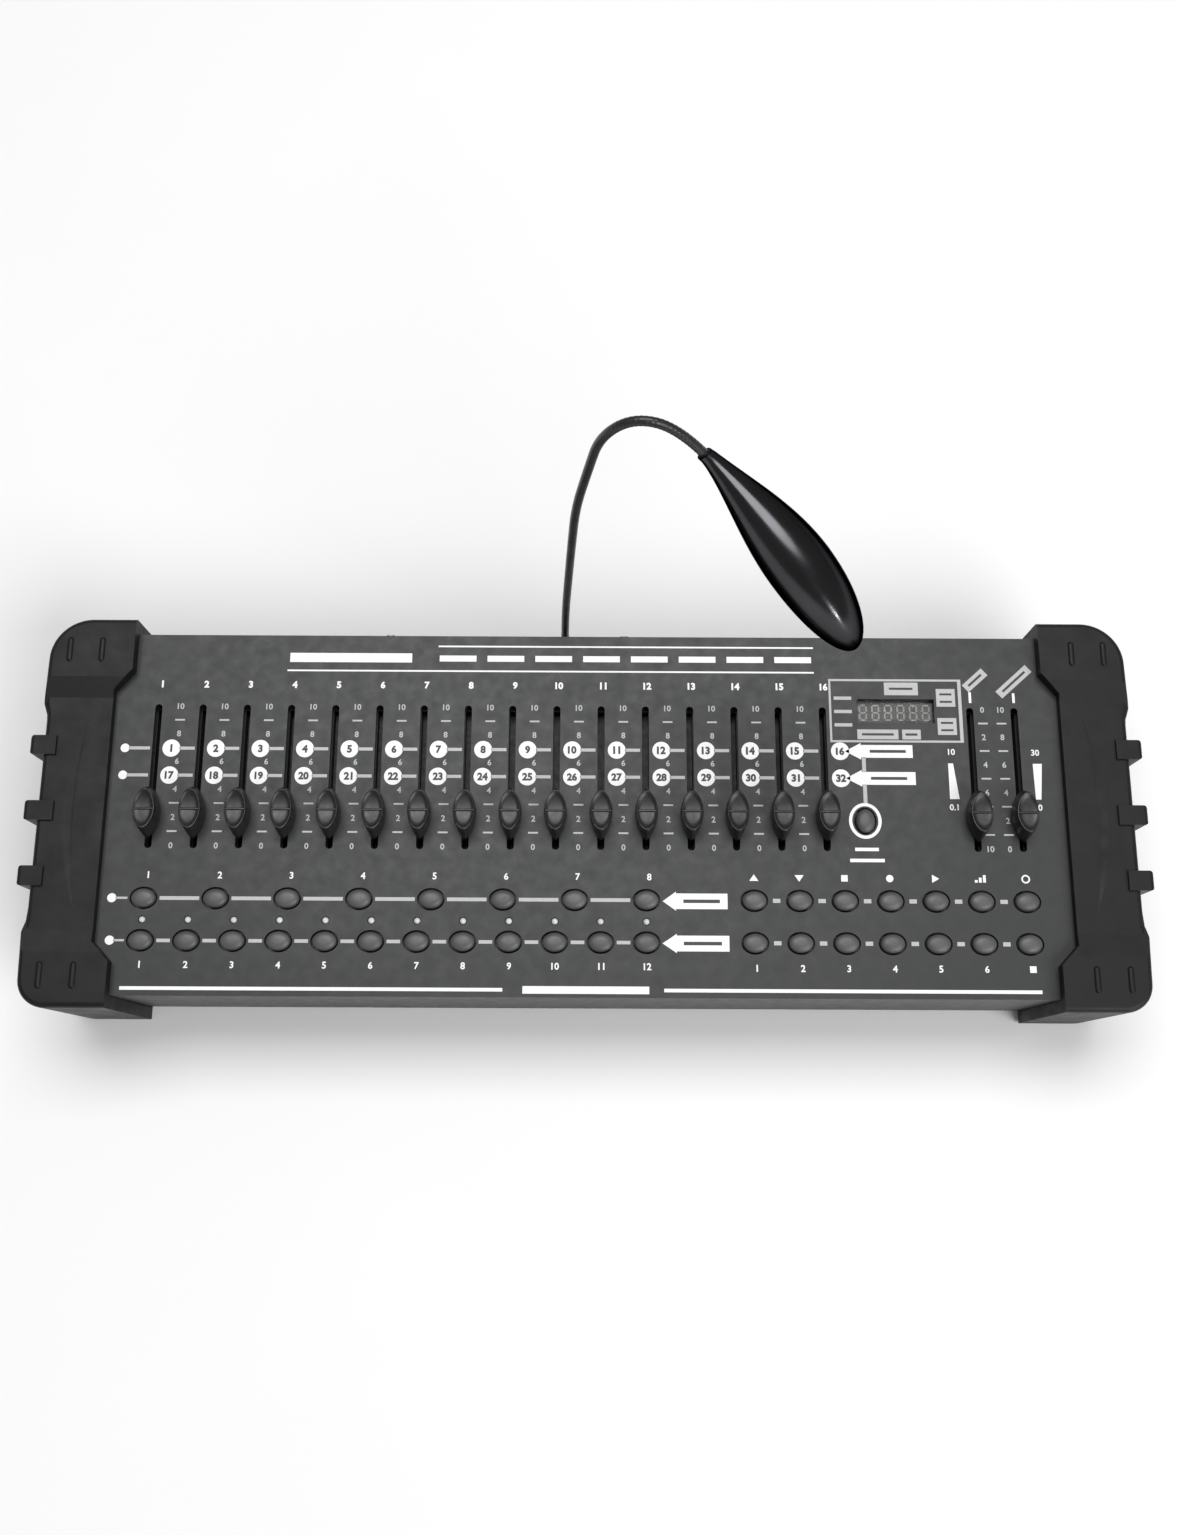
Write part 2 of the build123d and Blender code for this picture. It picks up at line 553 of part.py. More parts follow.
# ---- fasteners ----
def screws():
    """Cover, floor, end cap and socket screws."""
    made = []
    inside = 80.0
    for x, z in REAR_SCREWS:
        head = rod_y(x, z, HALF_DEPTH, HALF_DEPTH + 1.8, SCREW_HEAD_RADIUS)
        made.append(head + rod_y(x, z, inside, HALF_DEPTH, SCREW_SHANK_RADIUS))
    for x, y in FLOOR_SCREWS:
        head = post(x, y, BASE_BOTTOM - 1.8, BASE_BOTTOM, SCREW_HEAD_RADIUS)
        made.append(head + post(x, y, BASE_BOTTOM, 12.0, SCREW_SHANK_RADIUS))
    for x, y in CAP_SCREWS:
        head = post(x, y, 1.9, 3.6, SCREW_HEAD_RADIUS)
        made.append(head + post(x, y, 3.6, 11.0, SCREW_SHANK_RADIUS))
    for socket in (DMX_OUT, DMX_LINK):
        for x, z in xlr_screw_places(*socket):
            head = rod_y(x, z, XLR_FLANGE_OUTSIDE, XLR_FLANGE_OUTSIDE + 1.4, 2.6)
            made.append(head + rod_y(x, z, inside, XLR_FLANGE_OUTSIDE, SCREW_SHANK_RADIUS))
    return made


def rubber_feet():
    """Four round feet under the floor."""
    feet = []
    for x, y in FEET:
        foot = post(x, y, 0.0, BASE_BOTTOM, 9.0)
        feet.append(chamfer(foot.edges().filter_by(lambda e: e.center().Z < 0.1), 1.0))
    return feet


# ---- lamp ----
def tube(points, bend_radius):
    """Round tube along straight runs joined by tangent arcs."""
    if len(points) > 2:
        path = FilletPolyline(*points, radius=bend_radius)
    else:
        path = Line(*points)
    start = Vector(*points[0])
    profile = Plane(origin=start, z_dir=Vector(*points[1]) - start) * Circle(GOOSENECK_DIAMETER / 2)
    return sweep(profile, path=path)


def toward(point, other, distance):
    """A point moved towards another by a distance."""
    a, b = Vector(*point), Vector(*other)
    return tuple(a + (b - a).normalized() * distance)


def lamp_plug():
    """Angled plug in the lamp socket, with the first stretch of gooseneck."""
    x, z = LAMP_SOCKET
    barrel = rod_y(x, z, HALF_DEPTH + 2.2, 98.5, 5.0)
    barrel += post(x, 96.0, z - 2, 32.0, 3.4)
    stub = tube([NECK_BASE[0], toward(NECK_BASE[1], NECK_BASE[0], 0.4)], 0)
    return barrel + stub


def gooseneck_lower():
    """Gooseneck from its swivel to its middle bend."""
    route = list(NECK_LOWER)
    route[-1] = toward(route[-1], route[-2], GOOSENECK_DIAMETER / 2 + 0.5)
    return tube(route, 400.0)


def gooseneck_upper():
    """Gooseneck from its middle bend, over the top and down to the lamp head."""
    route = list(NECK_UPPER)
    route[-1] = toward(route[-1], route[-2], GOOSENECK_DIAMETER / 2 + 0.5)
    bends = [150.0, 90.0, 26.0, 12.0, 14.0]
    return Pos(*route[0]) * Sphere(GOOSENECK_DIAMETER / 2) + tube(route, bends)


def head_plane():
    """The lamp head's own frame: its x axis runs from neck to tip and its z axis is up."""
    along = (HEAD_TIP - HEAD_NECK).normalized()
    across = Vector(0, 0, 1).cross(along).normalized()
    return Plane(origin=HEAD_NECK, x_dir=along, z_dir=along.cross(across))


def teardrop(shrink=0.0):
    """The lamp head's outer form, or the same form shrunk on all sides: a taper, then half an ellipse."""
    widest = HEAD_LENGTH * HEAD_WIDEST
    tip = HEAD_LENGTH - shrink
    stations = [(0.0, 2.9), (0.1, 4.3), (0.22, 6.9), (0.42, 10.9), (HEAD_WIDEST, HEAD_RADIUS)]
    rear = [(HEAD_LENGTH * share, radius - shrink) for share, radius in stations]
    rear[0] = (shrink, rear[0][1])
    taper = Spline(*rear, tangents=[(1, 0.12), (1, 0)])
    nose = EllipticalCenterArc((widest, 0), tip - widest, HEAD_RADIUS - shrink, arc_size=90)
    outline = make_face([Line((shrink, 0), rear[0]), taper, nose, Line((tip, 0), (shrink, 0))])
    return revolve(outline, Axis.X)


def lens_window(grow=0.0):
    """The opening in the underside of the lamp head, as a prism."""
    middle, length, width = HEAD_LENGTH * 0.62, 52.0 + grow, 15.0 + grow
    return extrude(Pos(middle, 0, -20) * SlotOverall(length, width), 18)


def lamp_head_shell():
    """Hollow teardrop shell, open underneath for the lens."""
    return head_plane() * (teardrop() - teardrop(1.8) - lens_window())


def lamp_lens():
    """Clear lens that closes the underside of the lamp head."""
    return head_plane() * ((teardrop() - teardrop(1.6)) & lens_window(-0.4))


def lamp_led_board():
    """Narrow board with a row of lamps facing the lens."""
    middle = HEAD_LENGTH * 0.62
    parts = Pos(middle, 0, 0) * Box(46, 11, 1.6)
    for step in range(-2, 3):
        parts += Pos(middle + step * 9.0, 0, -2.0) * Cylinder(2.4, 2.8)
    return head_plane() * parts


# ---- write every node ----
os.makedirs("parts", exist_ok=True)
save("top_panel", top_panel())
save("base_tray", base_tray())
right_cap = end_cap_right()
save("end_cap_right", right_cap)
save("end_cap_left", mirror(right_cap, about=Plane.YZ))
save("fader_tracks", *fader_tracks())
save("control_board", control_board())
save("button_switches", *button_switches())
save("display_module", *display_module())
save("display_window", display_window())
save("scanner_leds", *scanner_leds())
save("connector_board", connector_board())
save("board_standoffs", *board_standoffs())
save("dmx_sockets", xlr_socket(*DMX_OUT, pins=False), xlr_socket(*DMX_LINK, pins=True))
save("midi_socket", midi_socket())
save("audio_socket", audio_socket())
save("lamp_socket", lamp_socket())
save("dc_inlet", dc_inlet())
save("polarity_switch_body", polarity_switch_body())
save("polarity_switch_slider", polarity_switch_slider())
save("power_switch_frame", power_switch_frame())
save("power_rocker", power_rocker())
save("screws", *screws())
save("rubber_feet", *rubber_feet())
save("lamp_plug", lamp_plug())
save("gooseneck_lower", gooseneck_lower())
save("gooseneck_upper", gooseneck_upper())
save("lamp_head_shell", lamp_head_shell())
save("lamp_lens", lamp_lens())
save("lamp_led_board", lamp_led_board())
for number, x in enumerate(CHANNEL_X, 1):
    save(f"fader_knob_{number:02d}", fader_knob(x))
save("fader_knob_speed", fader_knob(SPEED_FADER_X))
save("fader_knob_fade", fader_knob(FADE_FADER_X))
for number, x in enumerate(SCENE_X, 1):
    save(f"button_scene_{number}", button(x, SCENE_ROW_Y))
save("buttons_scanner", *[button(x, SCANNER_ROW_Y) for x in SCANNER_X])
save("buttons_function", *[button(x, SCENE_ROW_Y) for x in FUNCTION_X])
save("buttons_chase", *[button(x, SCANNER_ROW_Y) for x in CHASE_X])
save("button_blackout", button(BLACKOUT_X, SCANNER_ROW_Y))
save("button_page", button(PAGE_BUTTON_X, PAGE_BUTTON_Y, upright=True))
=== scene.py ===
import math

import bmesh
import bpy
from mathutils import Matrix, Vector


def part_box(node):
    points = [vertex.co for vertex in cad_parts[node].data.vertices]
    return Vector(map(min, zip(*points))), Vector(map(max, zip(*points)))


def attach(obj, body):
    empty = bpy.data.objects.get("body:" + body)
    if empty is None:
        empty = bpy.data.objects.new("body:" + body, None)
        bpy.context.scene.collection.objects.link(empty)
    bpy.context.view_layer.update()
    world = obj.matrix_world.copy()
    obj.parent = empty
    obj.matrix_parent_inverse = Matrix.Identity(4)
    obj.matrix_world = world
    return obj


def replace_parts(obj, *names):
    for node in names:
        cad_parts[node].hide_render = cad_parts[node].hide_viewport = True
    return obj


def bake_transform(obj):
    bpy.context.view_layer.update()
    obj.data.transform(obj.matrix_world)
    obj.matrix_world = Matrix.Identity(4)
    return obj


# The looks of the lighting control desk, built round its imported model.
# Lengths are millimetres unless a comment says metres, and mesh_piece() turns them into metres.
# +X is to the operator's right, +Y to the rear panel and +Z up.

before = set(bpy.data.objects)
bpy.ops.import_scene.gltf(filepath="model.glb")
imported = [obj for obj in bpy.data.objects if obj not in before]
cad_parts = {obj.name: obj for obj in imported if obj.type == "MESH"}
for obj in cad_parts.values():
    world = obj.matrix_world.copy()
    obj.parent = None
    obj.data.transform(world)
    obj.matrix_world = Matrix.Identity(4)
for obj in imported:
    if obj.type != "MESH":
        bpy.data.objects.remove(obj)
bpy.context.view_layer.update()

MM = 0.001


def box_mm(node):
    """A CAD node's lowest and highest corners in millimetres."""
    low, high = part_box(node)
    return low / MM, high / MM


def centre(node):
    """The middle of a CAD node's box in millimetres."""
    low, high = box_mm(node)
    return (low + high) / 2


def row_places(node, count):
    """The middles of a row of equal oval buttons that share one CAD node."""
    low, high = box_mm(node)
    first = low.x + COLLAR_LONG / 2
    pitch = (high.x - low.x - COLLAR_LONG) / (count - 1)
    return [(first + pitch * i, (low.y + high.y) / 2) for i in range(count)]


# ---- driving dimensions ----
CHANNELS = 16
SCENES = 8
SCANNERS = 12
FUNCTIONS = 7
CHASES = 6
PANEL_TOP = box_mm("fader_tracks")[0].z + 14.0
HALF_DEPTH = box_mm("base_tray")[1].y
BUTTON_LONG = 11.0
BUTTON_SHORT = 8.6
COLLAR_LONG = BUTTON_LONG + 4.0
COLLAR_SHORT = BUTTON_SHORT + 4.0
CHANNEL_PITCH = 21.0
INK_SINK = 0.04        # how far printed ink reaches into the sheet under it
INK_THICKNESS = 0.05
OVERPRINT = 0.04       # dark ink on top of white ink
SCALE_STEP = 13.44     # between two numbers beside a fader slot
SCALE_ZERO_Y = -16.9
START_DOT = 2.1        # radius of the dot where a printed row begins

# Height and stroke weight of each kind of printed number.
SCALE_NUMBER = (2.9, 0.02)
END_NUMBER = (3.0, 0.02)
CHANNEL_NUMBER = (3.5, 0.045)
DISC_NUMBER = (3.8, 0.05)
BUTTON_NUMBER = (3.2, 0.025)
REAR_NUMBER = (3.4, 0.03)

# The span of values that a noise field mostly keeps to.
WIDE_SPAN = (0.3, 0.7)
NARROW_SPAN = (0.35, 0.65)

channel_places = [centre(f"fader_knob_{i:02d}") for i in range(1, CHANNELS + 1)]
speed_place = centre("fader_knob_speed")
fade_place = centre("fader_knob_fade")
scene_places = [tuple(centre(f"button_scene_{i}").xy) for i in range(1, SCENES + 1)]
scanner_places = row_places("buttons_scanner", SCANNERS)
function_places = row_places("buttons_function", FUNCTIONS)
chase_places = row_places("buttons_chase", CHASES)
blackout_place = tuple(centre("button_blackout").xy)
page_place = tuple(centre("button_page").xy)


# ---- materials ----
def principled(name, colour, roughness, **sockets):
    """A material whose plain values are set on the shader itself."""
    material = bpy.data.materials.new(name)
    material.use_nodes = True
    shader = material.node_tree.nodes["Principled BSDF"]
    shader.inputs["Base Color"].default_value = (*colour, 1.0)
    shader.inputs["Roughness"].default_value = roughness
    for socket, value in sockets.items():
        shader.inputs[socket.replace("_", " ")].default_value = value
    return material


def place_node(tree):
    """Coordinates that stay with the object, in metres."""
    found = tree.nodes.get("Place")
    if found is None:
        found = tree.nodes.new("ShaderNodeTexCoord")
        found.name = "Place"
    return found.outputs["Object"]


def noise(material, scale, detail=4.0, rough=0.55, stretch=(1, 1, 1)):
    """A noise field, its scale in features per metre."""
    tree = material.node_tree
    texture = tree.nodes.new("ShaderNodeTexNoise")
    texture.inputs["Scale"].default_value = scale
    texture.inputs["Detail"].default_value = detail
    texture.inputs["Roughness"].default_value = rough
    mapping = tree.nodes.new("ShaderNodeMapping")
    mapping.inputs["Scale"].default_value = stretch
    tree.links.new(place_node(tree), mapping.inputs["Vector"])
    tree.links.new(mapping.outputs["Vector"], texture.inputs["Vector"])
    return texture.outputs["Fac"]


def remap(material, value, low, high, to_low=0.0, to_high=1.0):
    """A value moved from one range to another."""
    tree = material.node_tree
    node = tree.nodes.new("ShaderNodeMapRange")
    for socket, number in zip(("From Min", "From Max", "To Min", "To Max"), (low, high, to_low, to_high)):
        node.inputs[socket].default_value = number
    tree.links.new(value, node.inputs["Value"])
    return node.outputs["Result"]


def tint(material, mask, low, high):
    """Base colour that runs from one colour to another with a mask."""
    tree = material.node_tree
    ramp = tree.nodes.new("ShaderNodeValToRGB")
    ramp.color_ramp.elements[0].color = (*low, 1.0)
    ramp.color_ramp.elements[1].color = (*high, 1.0)
    tree.links.new(mask, ramp.inputs["Fac"])
    tree.links.new(ramp.outputs["Color"], tree.nodes["Principled BSDF"].inputs["Base Color"])


def gloss(material, value):
    """Roughness driven by a field."""
    tree = material.node_tree
    tree.links.new(value, tree.nodes["Principled BSDF"].inputs["Roughness"])


def relief(material, height, depth, strength=1.0):
    """Bump from a field, its depth in millimetres. Calls add up."""
    tree = material.node_tree
    shader = tree.nodes["Principled BSDF"]
    bump = tree.nodes.new("ShaderNodeBump")
    bump.inputs["Strength"].default_value = strength
    bump.inputs["Distance"].default_value = depth * MM
    if shader.inputs["Normal"].is_linked:
        tree.links.new(shader.inputs["Normal"].links[0].from_socket, bump.inputs["Normal"])
    tree.links.new(height, bump.inputs["Height"])
    tree.links.new(bump.outputs["Normal"], shader.inputs["Normal"])


def grey(value, warmth=0.0):
    """A grey with a slight warm or cool cast."""
    return (value * (1 + warmth), value, value * (1 - warmth))


def powder_coat(name, value, rough):
    """Satin powder coat: fine orange peel, faint clouding and slightly uneven sheen."""
    made = principled(name, grey(value, -0.05), rough)
    clouds = noise(made, 14.0, detail=3.0)
    tint(made, remap(made, clouds, *NARROW_SPAN), grey(value * 0.93, -0.06), grey(value * 1.07, -0.04))
    gloss(made, remap(made, noise(made, 160.0), *WIDE_SPAN, rough - 0.05, rough + 0.06))
    relief(made, noise(made, 1400.0, detail=2.0), 0.035, 0.5)
    relief(made, noise(made, 420.0, detail=1.0), 0.03, 0.25)
    return made


def moulded_rubber(name, value):
    """Moulded rubber with a dull sheen: fine spark-eroded grain, scuffs and a little dust."""
    made = principled(name, grey(value), 0.5, Specular_IOR_Level=0.29)
    scuffs = remap(made, noise(made, 55.0, detail=8.0, rough=0.7), 0.52, 0.78)
    tint(made, scuffs, grey(value * 0.92), grey(value * 1.35, 0.02))
    gloss(made, remap(made, noise(made, 90.0, detail=5.0), *WIDE_SPAN, 0.42, 0.58))
    relief(made, noise(made, 1900.0, detail=3.0), 0.05, 0.55)
    relief(made, noise(made, 260.0, detail=2.0), 0.05, 0.2)
    return made


def moulded_plastic(name, value, rough, grain=0.03):
    """Injection moulded plastic with a fine even texture."""
    made = principled(name, grey(value), rough)
    shade = remap(made, noise(made, 60.0, detail=3.0), *NARROW_SPAN)
    tint(made, shade, grey(value * 0.9), grey(value * 1.12))
    gloss(made, remap(made, noise(made, 300.0), *WIDE_SPAN, rough - 0.05, rough + 0.07))
    relief(made, noise(made, 2400.0, detail=2.0), grain, 0.4)
    return made


def bare_metal(name, value, rough):
    """Plated metal with fine marks."""
    made = principled(name, grey(value, 0.01), rough, Metallic=1.0)
    marks = noise(made, 700.0, detail=5.0)
    tint(made, remap(made, marks, *WIDE_SPAN), grey(value * 0.85), grey(value * 1.08, 0.02))
    gloss(made, remap(made, marks, *WIDE_SPAN, rough - 0.06, rough + 0.1))
    relief(made, marks, 0.01, 0.25)
    return made


def ink(name, value):
    """Screen-printed ink with a slightly uneven coat."""
    made = principled(name, grey(value), 0.5)
    coat = remap(made, noise(made, 900.0), *WIDE_SPAN)
    tint(made, coat, grey(value * 0.93), grey(min(1.0, value * 1.05)))
    relief(made, noise(made, 2600.0), 0.01, 0.3)
    return made


def glossy_shell(name):
    """Black lacquered lamp shell that mirrors faintly, with mould flow and fine hairline marks."""
    made = principled(name, grey(0.06), 0.19, Metallic=1.0, Specular_Tint=(0.1, 0.1, 0.1, 1.0))
    shade = remap(made, noise(made, 25.0), *NARROW_SPAN)
    tint(made, shade, (0.054, 0.054, 0.057), (0.066, 0.066, 0.07))
    gloss(made, remap(made, noise(made, 120.0, detail=6.0), *WIDE_SPAN, 0.16, 0.22))
    relief(made, noise(made, 90.0, detail=1.0), 0.02, 0.1)
    return made


def circuit_board(name):
    """Green solder mask over faint copper tracks."""
    made = principled(name, (0.01, 0.07, 0.03), 0.35)
    tracks = noise(made, 240.0, detail=0.0, stretch=(1.0, 0.15, 1.0))
    tint(made, remap(made, tracks, 0.48, 0.53), (0.006, 0.05, 0.02), (0.02, 0.11, 0.05))
    relief(made, tracks, 0.03, 0.4)
    return made


def display_face(name, surface):
    """Black housing whose raised segments, above one height, are unlit grey."""
    made = principled(name, grey(0.02), 0.4)
    tree = made.node_tree
    split = tree.nodes.new("ShaderNodeSeparateXYZ")
    tree.links.new(place_node(tree), split.inputs["Vector"])
    edge = 0.05 * MM
    raised = remap(made, split.outputs["Z"], surface - edge, surface + edge)
    tint(made, raised, grey(0.075, 0.03), grey(0.36, 0.01))
    relief(made, noise(made, 1500.0), 0.02, 0.3)
    return made


def tinted_window(name, value, rough, ior=1.35):
    """Clear moulded window with a smoky tint."""
    made = principled(name, grey(value), rough, Transmission_Weight=1.0, IOR=ior)
    smoke = remap(made, noise(made, 40.0), *NARROW_SPAN)
    tint(made, smoke, grey(value * 0.92), grey(min(1.0, value * 1.05)))
    gloss(made, remap(made, noise(made, 500.0), *WIDE_SPAN, rough * 0.7, rough * 1.4))
    return made


def sheathed_tube(name):
    """Satin sleeve shrunk over a wound metal arm."""
    made = principled(name, grey(0.012), 0.34)
    tint(made, remap(made, noise(made, 120.0), *NARROW_SPAN), grey(0.009), grey(0.018))
    gloss(made, remap(made, noise(made, 350.0), *WIDE_SPAN, 0.28, 0.42))
    relief(made, noise(made, 900.0), 0.03, 0.3)
    return made


def pale_floor(name):
    """Seamless studio paper."""
    made = principled(name, grey(0.86), 0.8)
    tint(made, remap(made, noise(made, 3.0), *WIDE_SPAN), grey(0.85), grey(0.87))
    relief(made, noise(made, 300.0), 0.05, 0.1)
    return made


panel_paint = powder_coat("panel_paint", 0.019, 0.48)
tray_paint = powder_coat("tray_paint", 0.015, 0.5)
bumper_rubber = moulded_rubber("bumper_rubber", 0.0065)
knob_plastic = moulded_plastic("knob_plastic", 0.009, 0.36)
button_plastic = moulded_plastic("button_plastic", 0.078, 0.42)
track_plastic = moulded_plastic("track_plastic", 0.012, 0.5)
switch_plastic = moulded_plastic("switch_plastic", 0.02, 0.45)
socket_plastic = moulded_plastic("socket_plastic", 0.014, 0.45)
board_green = circuit_board("board_green")
socket_metal = bare_metal("socket_metal", 0.42, 0.32)
post_metal = bare_metal("post_metal", 0.6, 0.25)
screw_metal = bare_metal("screw_metal", 0.14, 0.34)
switch_cap_plastic = moulded_plastic("switch_cap_plastic", 0.016, 0.34)
foot_rubber = moulded_rubber("foot_rubber", 0.012)
led_plastic = moulded_plastic("led_plastic", 0.62, 0.22, grain=0.0)
display_black = display_face("display_black", box_mm("display_module")[1].z * MM - 0.1 * MM)
display_smoke = tinted_window("display_smoke", 0.85, 0.06, ior=1.08)
lamp_black = glossy_shell("lamp_black")
lamp_clear = tinted_window("lamp_clear", 0.92, 0.08)
lamp_board = moulded_plastic("lamp_board", 0.6, 0.35)
arm_black = sheathed_tube("arm_black")
white_ink = ink("white_ink", 0.86)
soft_ink = ink("soft_ink", 0.46)
dark_ink = ink("dark_ink", 0.03)


# ---- mesh tools ----
def mesh_piece(name, vertices, faces, material, smooth_degrees=None):
    """A closed mesh object from millimetre vertices."""
    mesh = bpy.data.meshes.new(name)
    mesh.from_pydata([Vector(v) * MM for v in vertices], [], faces)
    shape = bmesh.new()
    shape.from_mesh(mesh)
    bmesh.ops.recalc_face_normals(shape, faces=shape.faces)
    shape.to_mesh(mesh)
    shape.free()
    mesh.materials.append(material)
    if smooth_degrees is not None:
        mesh.shade_smooth()
        mesh.set_sharp_from_angle(angle=math.radians(smooth_degrees))
    made = bpy.data.objects.new(name, mesh)
    bpy.context.scene.collection.objects.link(made)
    return made


class Solids:
    """Collects closed solids that become one piece."""

    def __init__(self):
        self.vertices = []
        self.faces = []

    def add(self, vertices, faces):
        start = len(self.vertices)
        self.vertices += [Vector(v) for v in vertices]
        self.faces += [[start + i for i in face] for face in faces]

    def stack(self, rings):
        """Equal rings joined in order and closed by a face at each end."""
        count = len(rings[0])
        vertices = [point for ring in rings for point in ring]
        faces = [list(reversed(range(count)))]
        for level in range(len(rings) - 1):
            for i in range(count):
                j = (i + 1) % count
                a, b = level * count, (level + 1) * count
                faces.append([a + i, a + j, b + j, b + i])
        last = (len(rings) - 1) * count
        faces.append([last + i for i in range(count)])
        self.add(vertices, faces)

    def box(self, low, high):
        x0, y0, z0 = low
        x1, y1, z1 = high
        self.stack([[(x0, y0, z), (x1, y0, z), (x1, y1, z), (x0, y1, z)] for z in (z0, z1)])

    def piece(self, name, material, smooth_degrees=None):
        return mesh_piece(name, self.vertices, self.faces, material, smooth_degrees)


def number_mesh(digits, weight):
    """An extruded number as plain vertices and faces, one unit high overall, its middle at the origin."""
    curve = bpy.data.curves.new("letters", "FONT")
    curve.body = digits
    curve.offset = weight
    curve.extrude = 0.5
    curve.resolution_u = 3
    holder = bpy.data.objects.new("letters", curve)
    mesh = bpy.data.meshes.new_from_object(holder)
    shape = bmesh.new()
    shape.from_mesh(mesh)
    bmesh.ops.remove_doubles(shape, verts=shape.verts, dist=0.0005)
    bmesh.ops.dissolve_degenerate(shape, edges=shape.edges, dist=0.0002)
    shape.verts.index_update()
    vertices = [v.co.copy() for v in shape.verts]
    faces = [[v.index for v in face.verts] for face in shape.faces]
    shape.free()
    bpy.data.objects.remove(holder)
    bpy.data.curves.remove(curve)
    bpy.data.meshes.remove(mesh)
    left, right = min(v.x for v in vertices), max(v.x for v in vertices)
    low, high = min(v.y for v in vertices), max(v.y for v in vertices)
    tall = high - low
    middle = Vector(((left + right) / 2, (low + high) / 2, 0))
    placed = [Vector(((v.x - middle.x) / tall, (v.y - middle.y) / tall, v.z)) for v in vertices]
    return placed, faces


class Ink(Solids):
    """Flat printed shapes as thin closed solids, from bottom to top."""

    def __init__(self, bottom, top):
        super().__init__()
        self.bottom = bottom
        self.top = top

    def shape(self, outline):
        self.stack([[(x, y, z) for x, y in outline] for z in (self.bottom, self.top)])

    def bar(self, x0, x1, y0, y1):
        self.shape([(x0, y0), (x1, y0), (x1, y1), (x0, y1)])

    def line(self, x0, x1, y, thick):
        self.bar(x0, x1, y - thick / 2, y + thick / 2)

    def slanted(self, x, y, length, thick, degrees):
        """A bar about its middle, turned."""
        turn = Matrix.Rotation(math.radians(degrees), 2)
        corners = [(-length / 2, -thick / 2), (length / 2, -thick / 2),
                   (length / 2, thick / 2), (-length / 2, thick / 2)]
        self.shape([tuple(turn @ Vector(c) + Vector((x, y))) for c in corners])

    def disc(self, x, y, radius):
        steps = 32
        angles = [2 * math.pi * i / steps for i in range(steps)]
        self.shape([(x + radius * math.cos(a), y + radius * math.sin(a)) for a in angles])

    def ring(self, x, y, half_width, half_depth, thick):
        """An oval ring, its thickness inwards."""
        steps = 56
        vertices = []
        for grow in (0.0, thick):
            for z in (self.bottom, self.top):
                for i in range(steps):
                    a = 2 * math.pi * i / steps
                    across = (half_width - grow) * math.cos(a)
                    along = (half_depth - grow) * math.sin(a)
                    vertices.append((x + across, y + along, z))
        faces = []
        for i in range(steps):
            j = (i + 1) % steps
            out_low, out_top, in_low, in_top = 0, steps, 2 * steps, 3 * steps
            faces.append([out_low + i, out_low + j, out_top + j, out_top + i])
            faces.append([out_top + i, out_top + j, in_top + j, in_top + i])
            faces.append([in_top + i, in_top + j, in_low + j, in_low + i])
            faces.append([in_low + i, in_low + j, out_low + j, out_low + i])
        self.add(vertices, faces)

    def number(self, digits, x, y, height, weight):
        """A number about its middle, fitted to a height."""
        vertices, faces = number_mesh(digits, weight)
        placed = []
        for v in vertices:
            flat = Vector((v.x * height, v.y * height))
            level = self.top if v.z > 0 else self.bottom
            placed.append((flat.x + x, flat.y + y, level))
        self.add(placed, faces)


# ---- printing on the control panel ----
white = Ink(PANEL_TOP - INK_SINK, PANEL_TOP + INK_THICKNESS)
soft = Ink(PANEL_TOP - INK_SINK, PANEL_TOP + INK_THICKNESS)
dark = Ink(PANEL_TOP + INK_THICKNESS - INK_SINK / 2, PANEL_TOP + INK_THICKNESS + OVERPRINT)


def print_titles():
    """Plain stripes along the rear edge and the front edge."""
    white.line(-71.1, 108.6, 80.8, 0.8)
    white.line(-143.0, 108.6, 68.4, 0.8)
    white.line(-142.0, -83.6, 74.9, 4.6)
    first, dash, pitch = -70.4, 17.6, 22.9
    for i in range(8):
        white.line(first + pitch * i, first + pitch * i + dash, 74.7, 3.0)
    front = -82.6
    white.line(-210.7, -37.4, front, 1.6)
    white.line(35.9, 207.0, front, 1.6)
    white.line(-28.3, 29.1, front, 3.4)


def scale_marks(x, dashes, downwards=False):
    """Even numbers 0 to 10 beside a slot, and a dash in each of the listed gaps, counted from the front."""
    for step in range(6):
        shown = 10 - 2 * step if downwards else 2 * step
        soft.number(str(shown), x, SCALE_ZERO_Y + SCALE_STEP * step, *SCALE_NUMBER)
    for step in dashes:
        soft.line(x - 2.3, x + 2.3, SCALE_ZERO_Y + SCALE_STEP * (step + 0.5), 0.8)


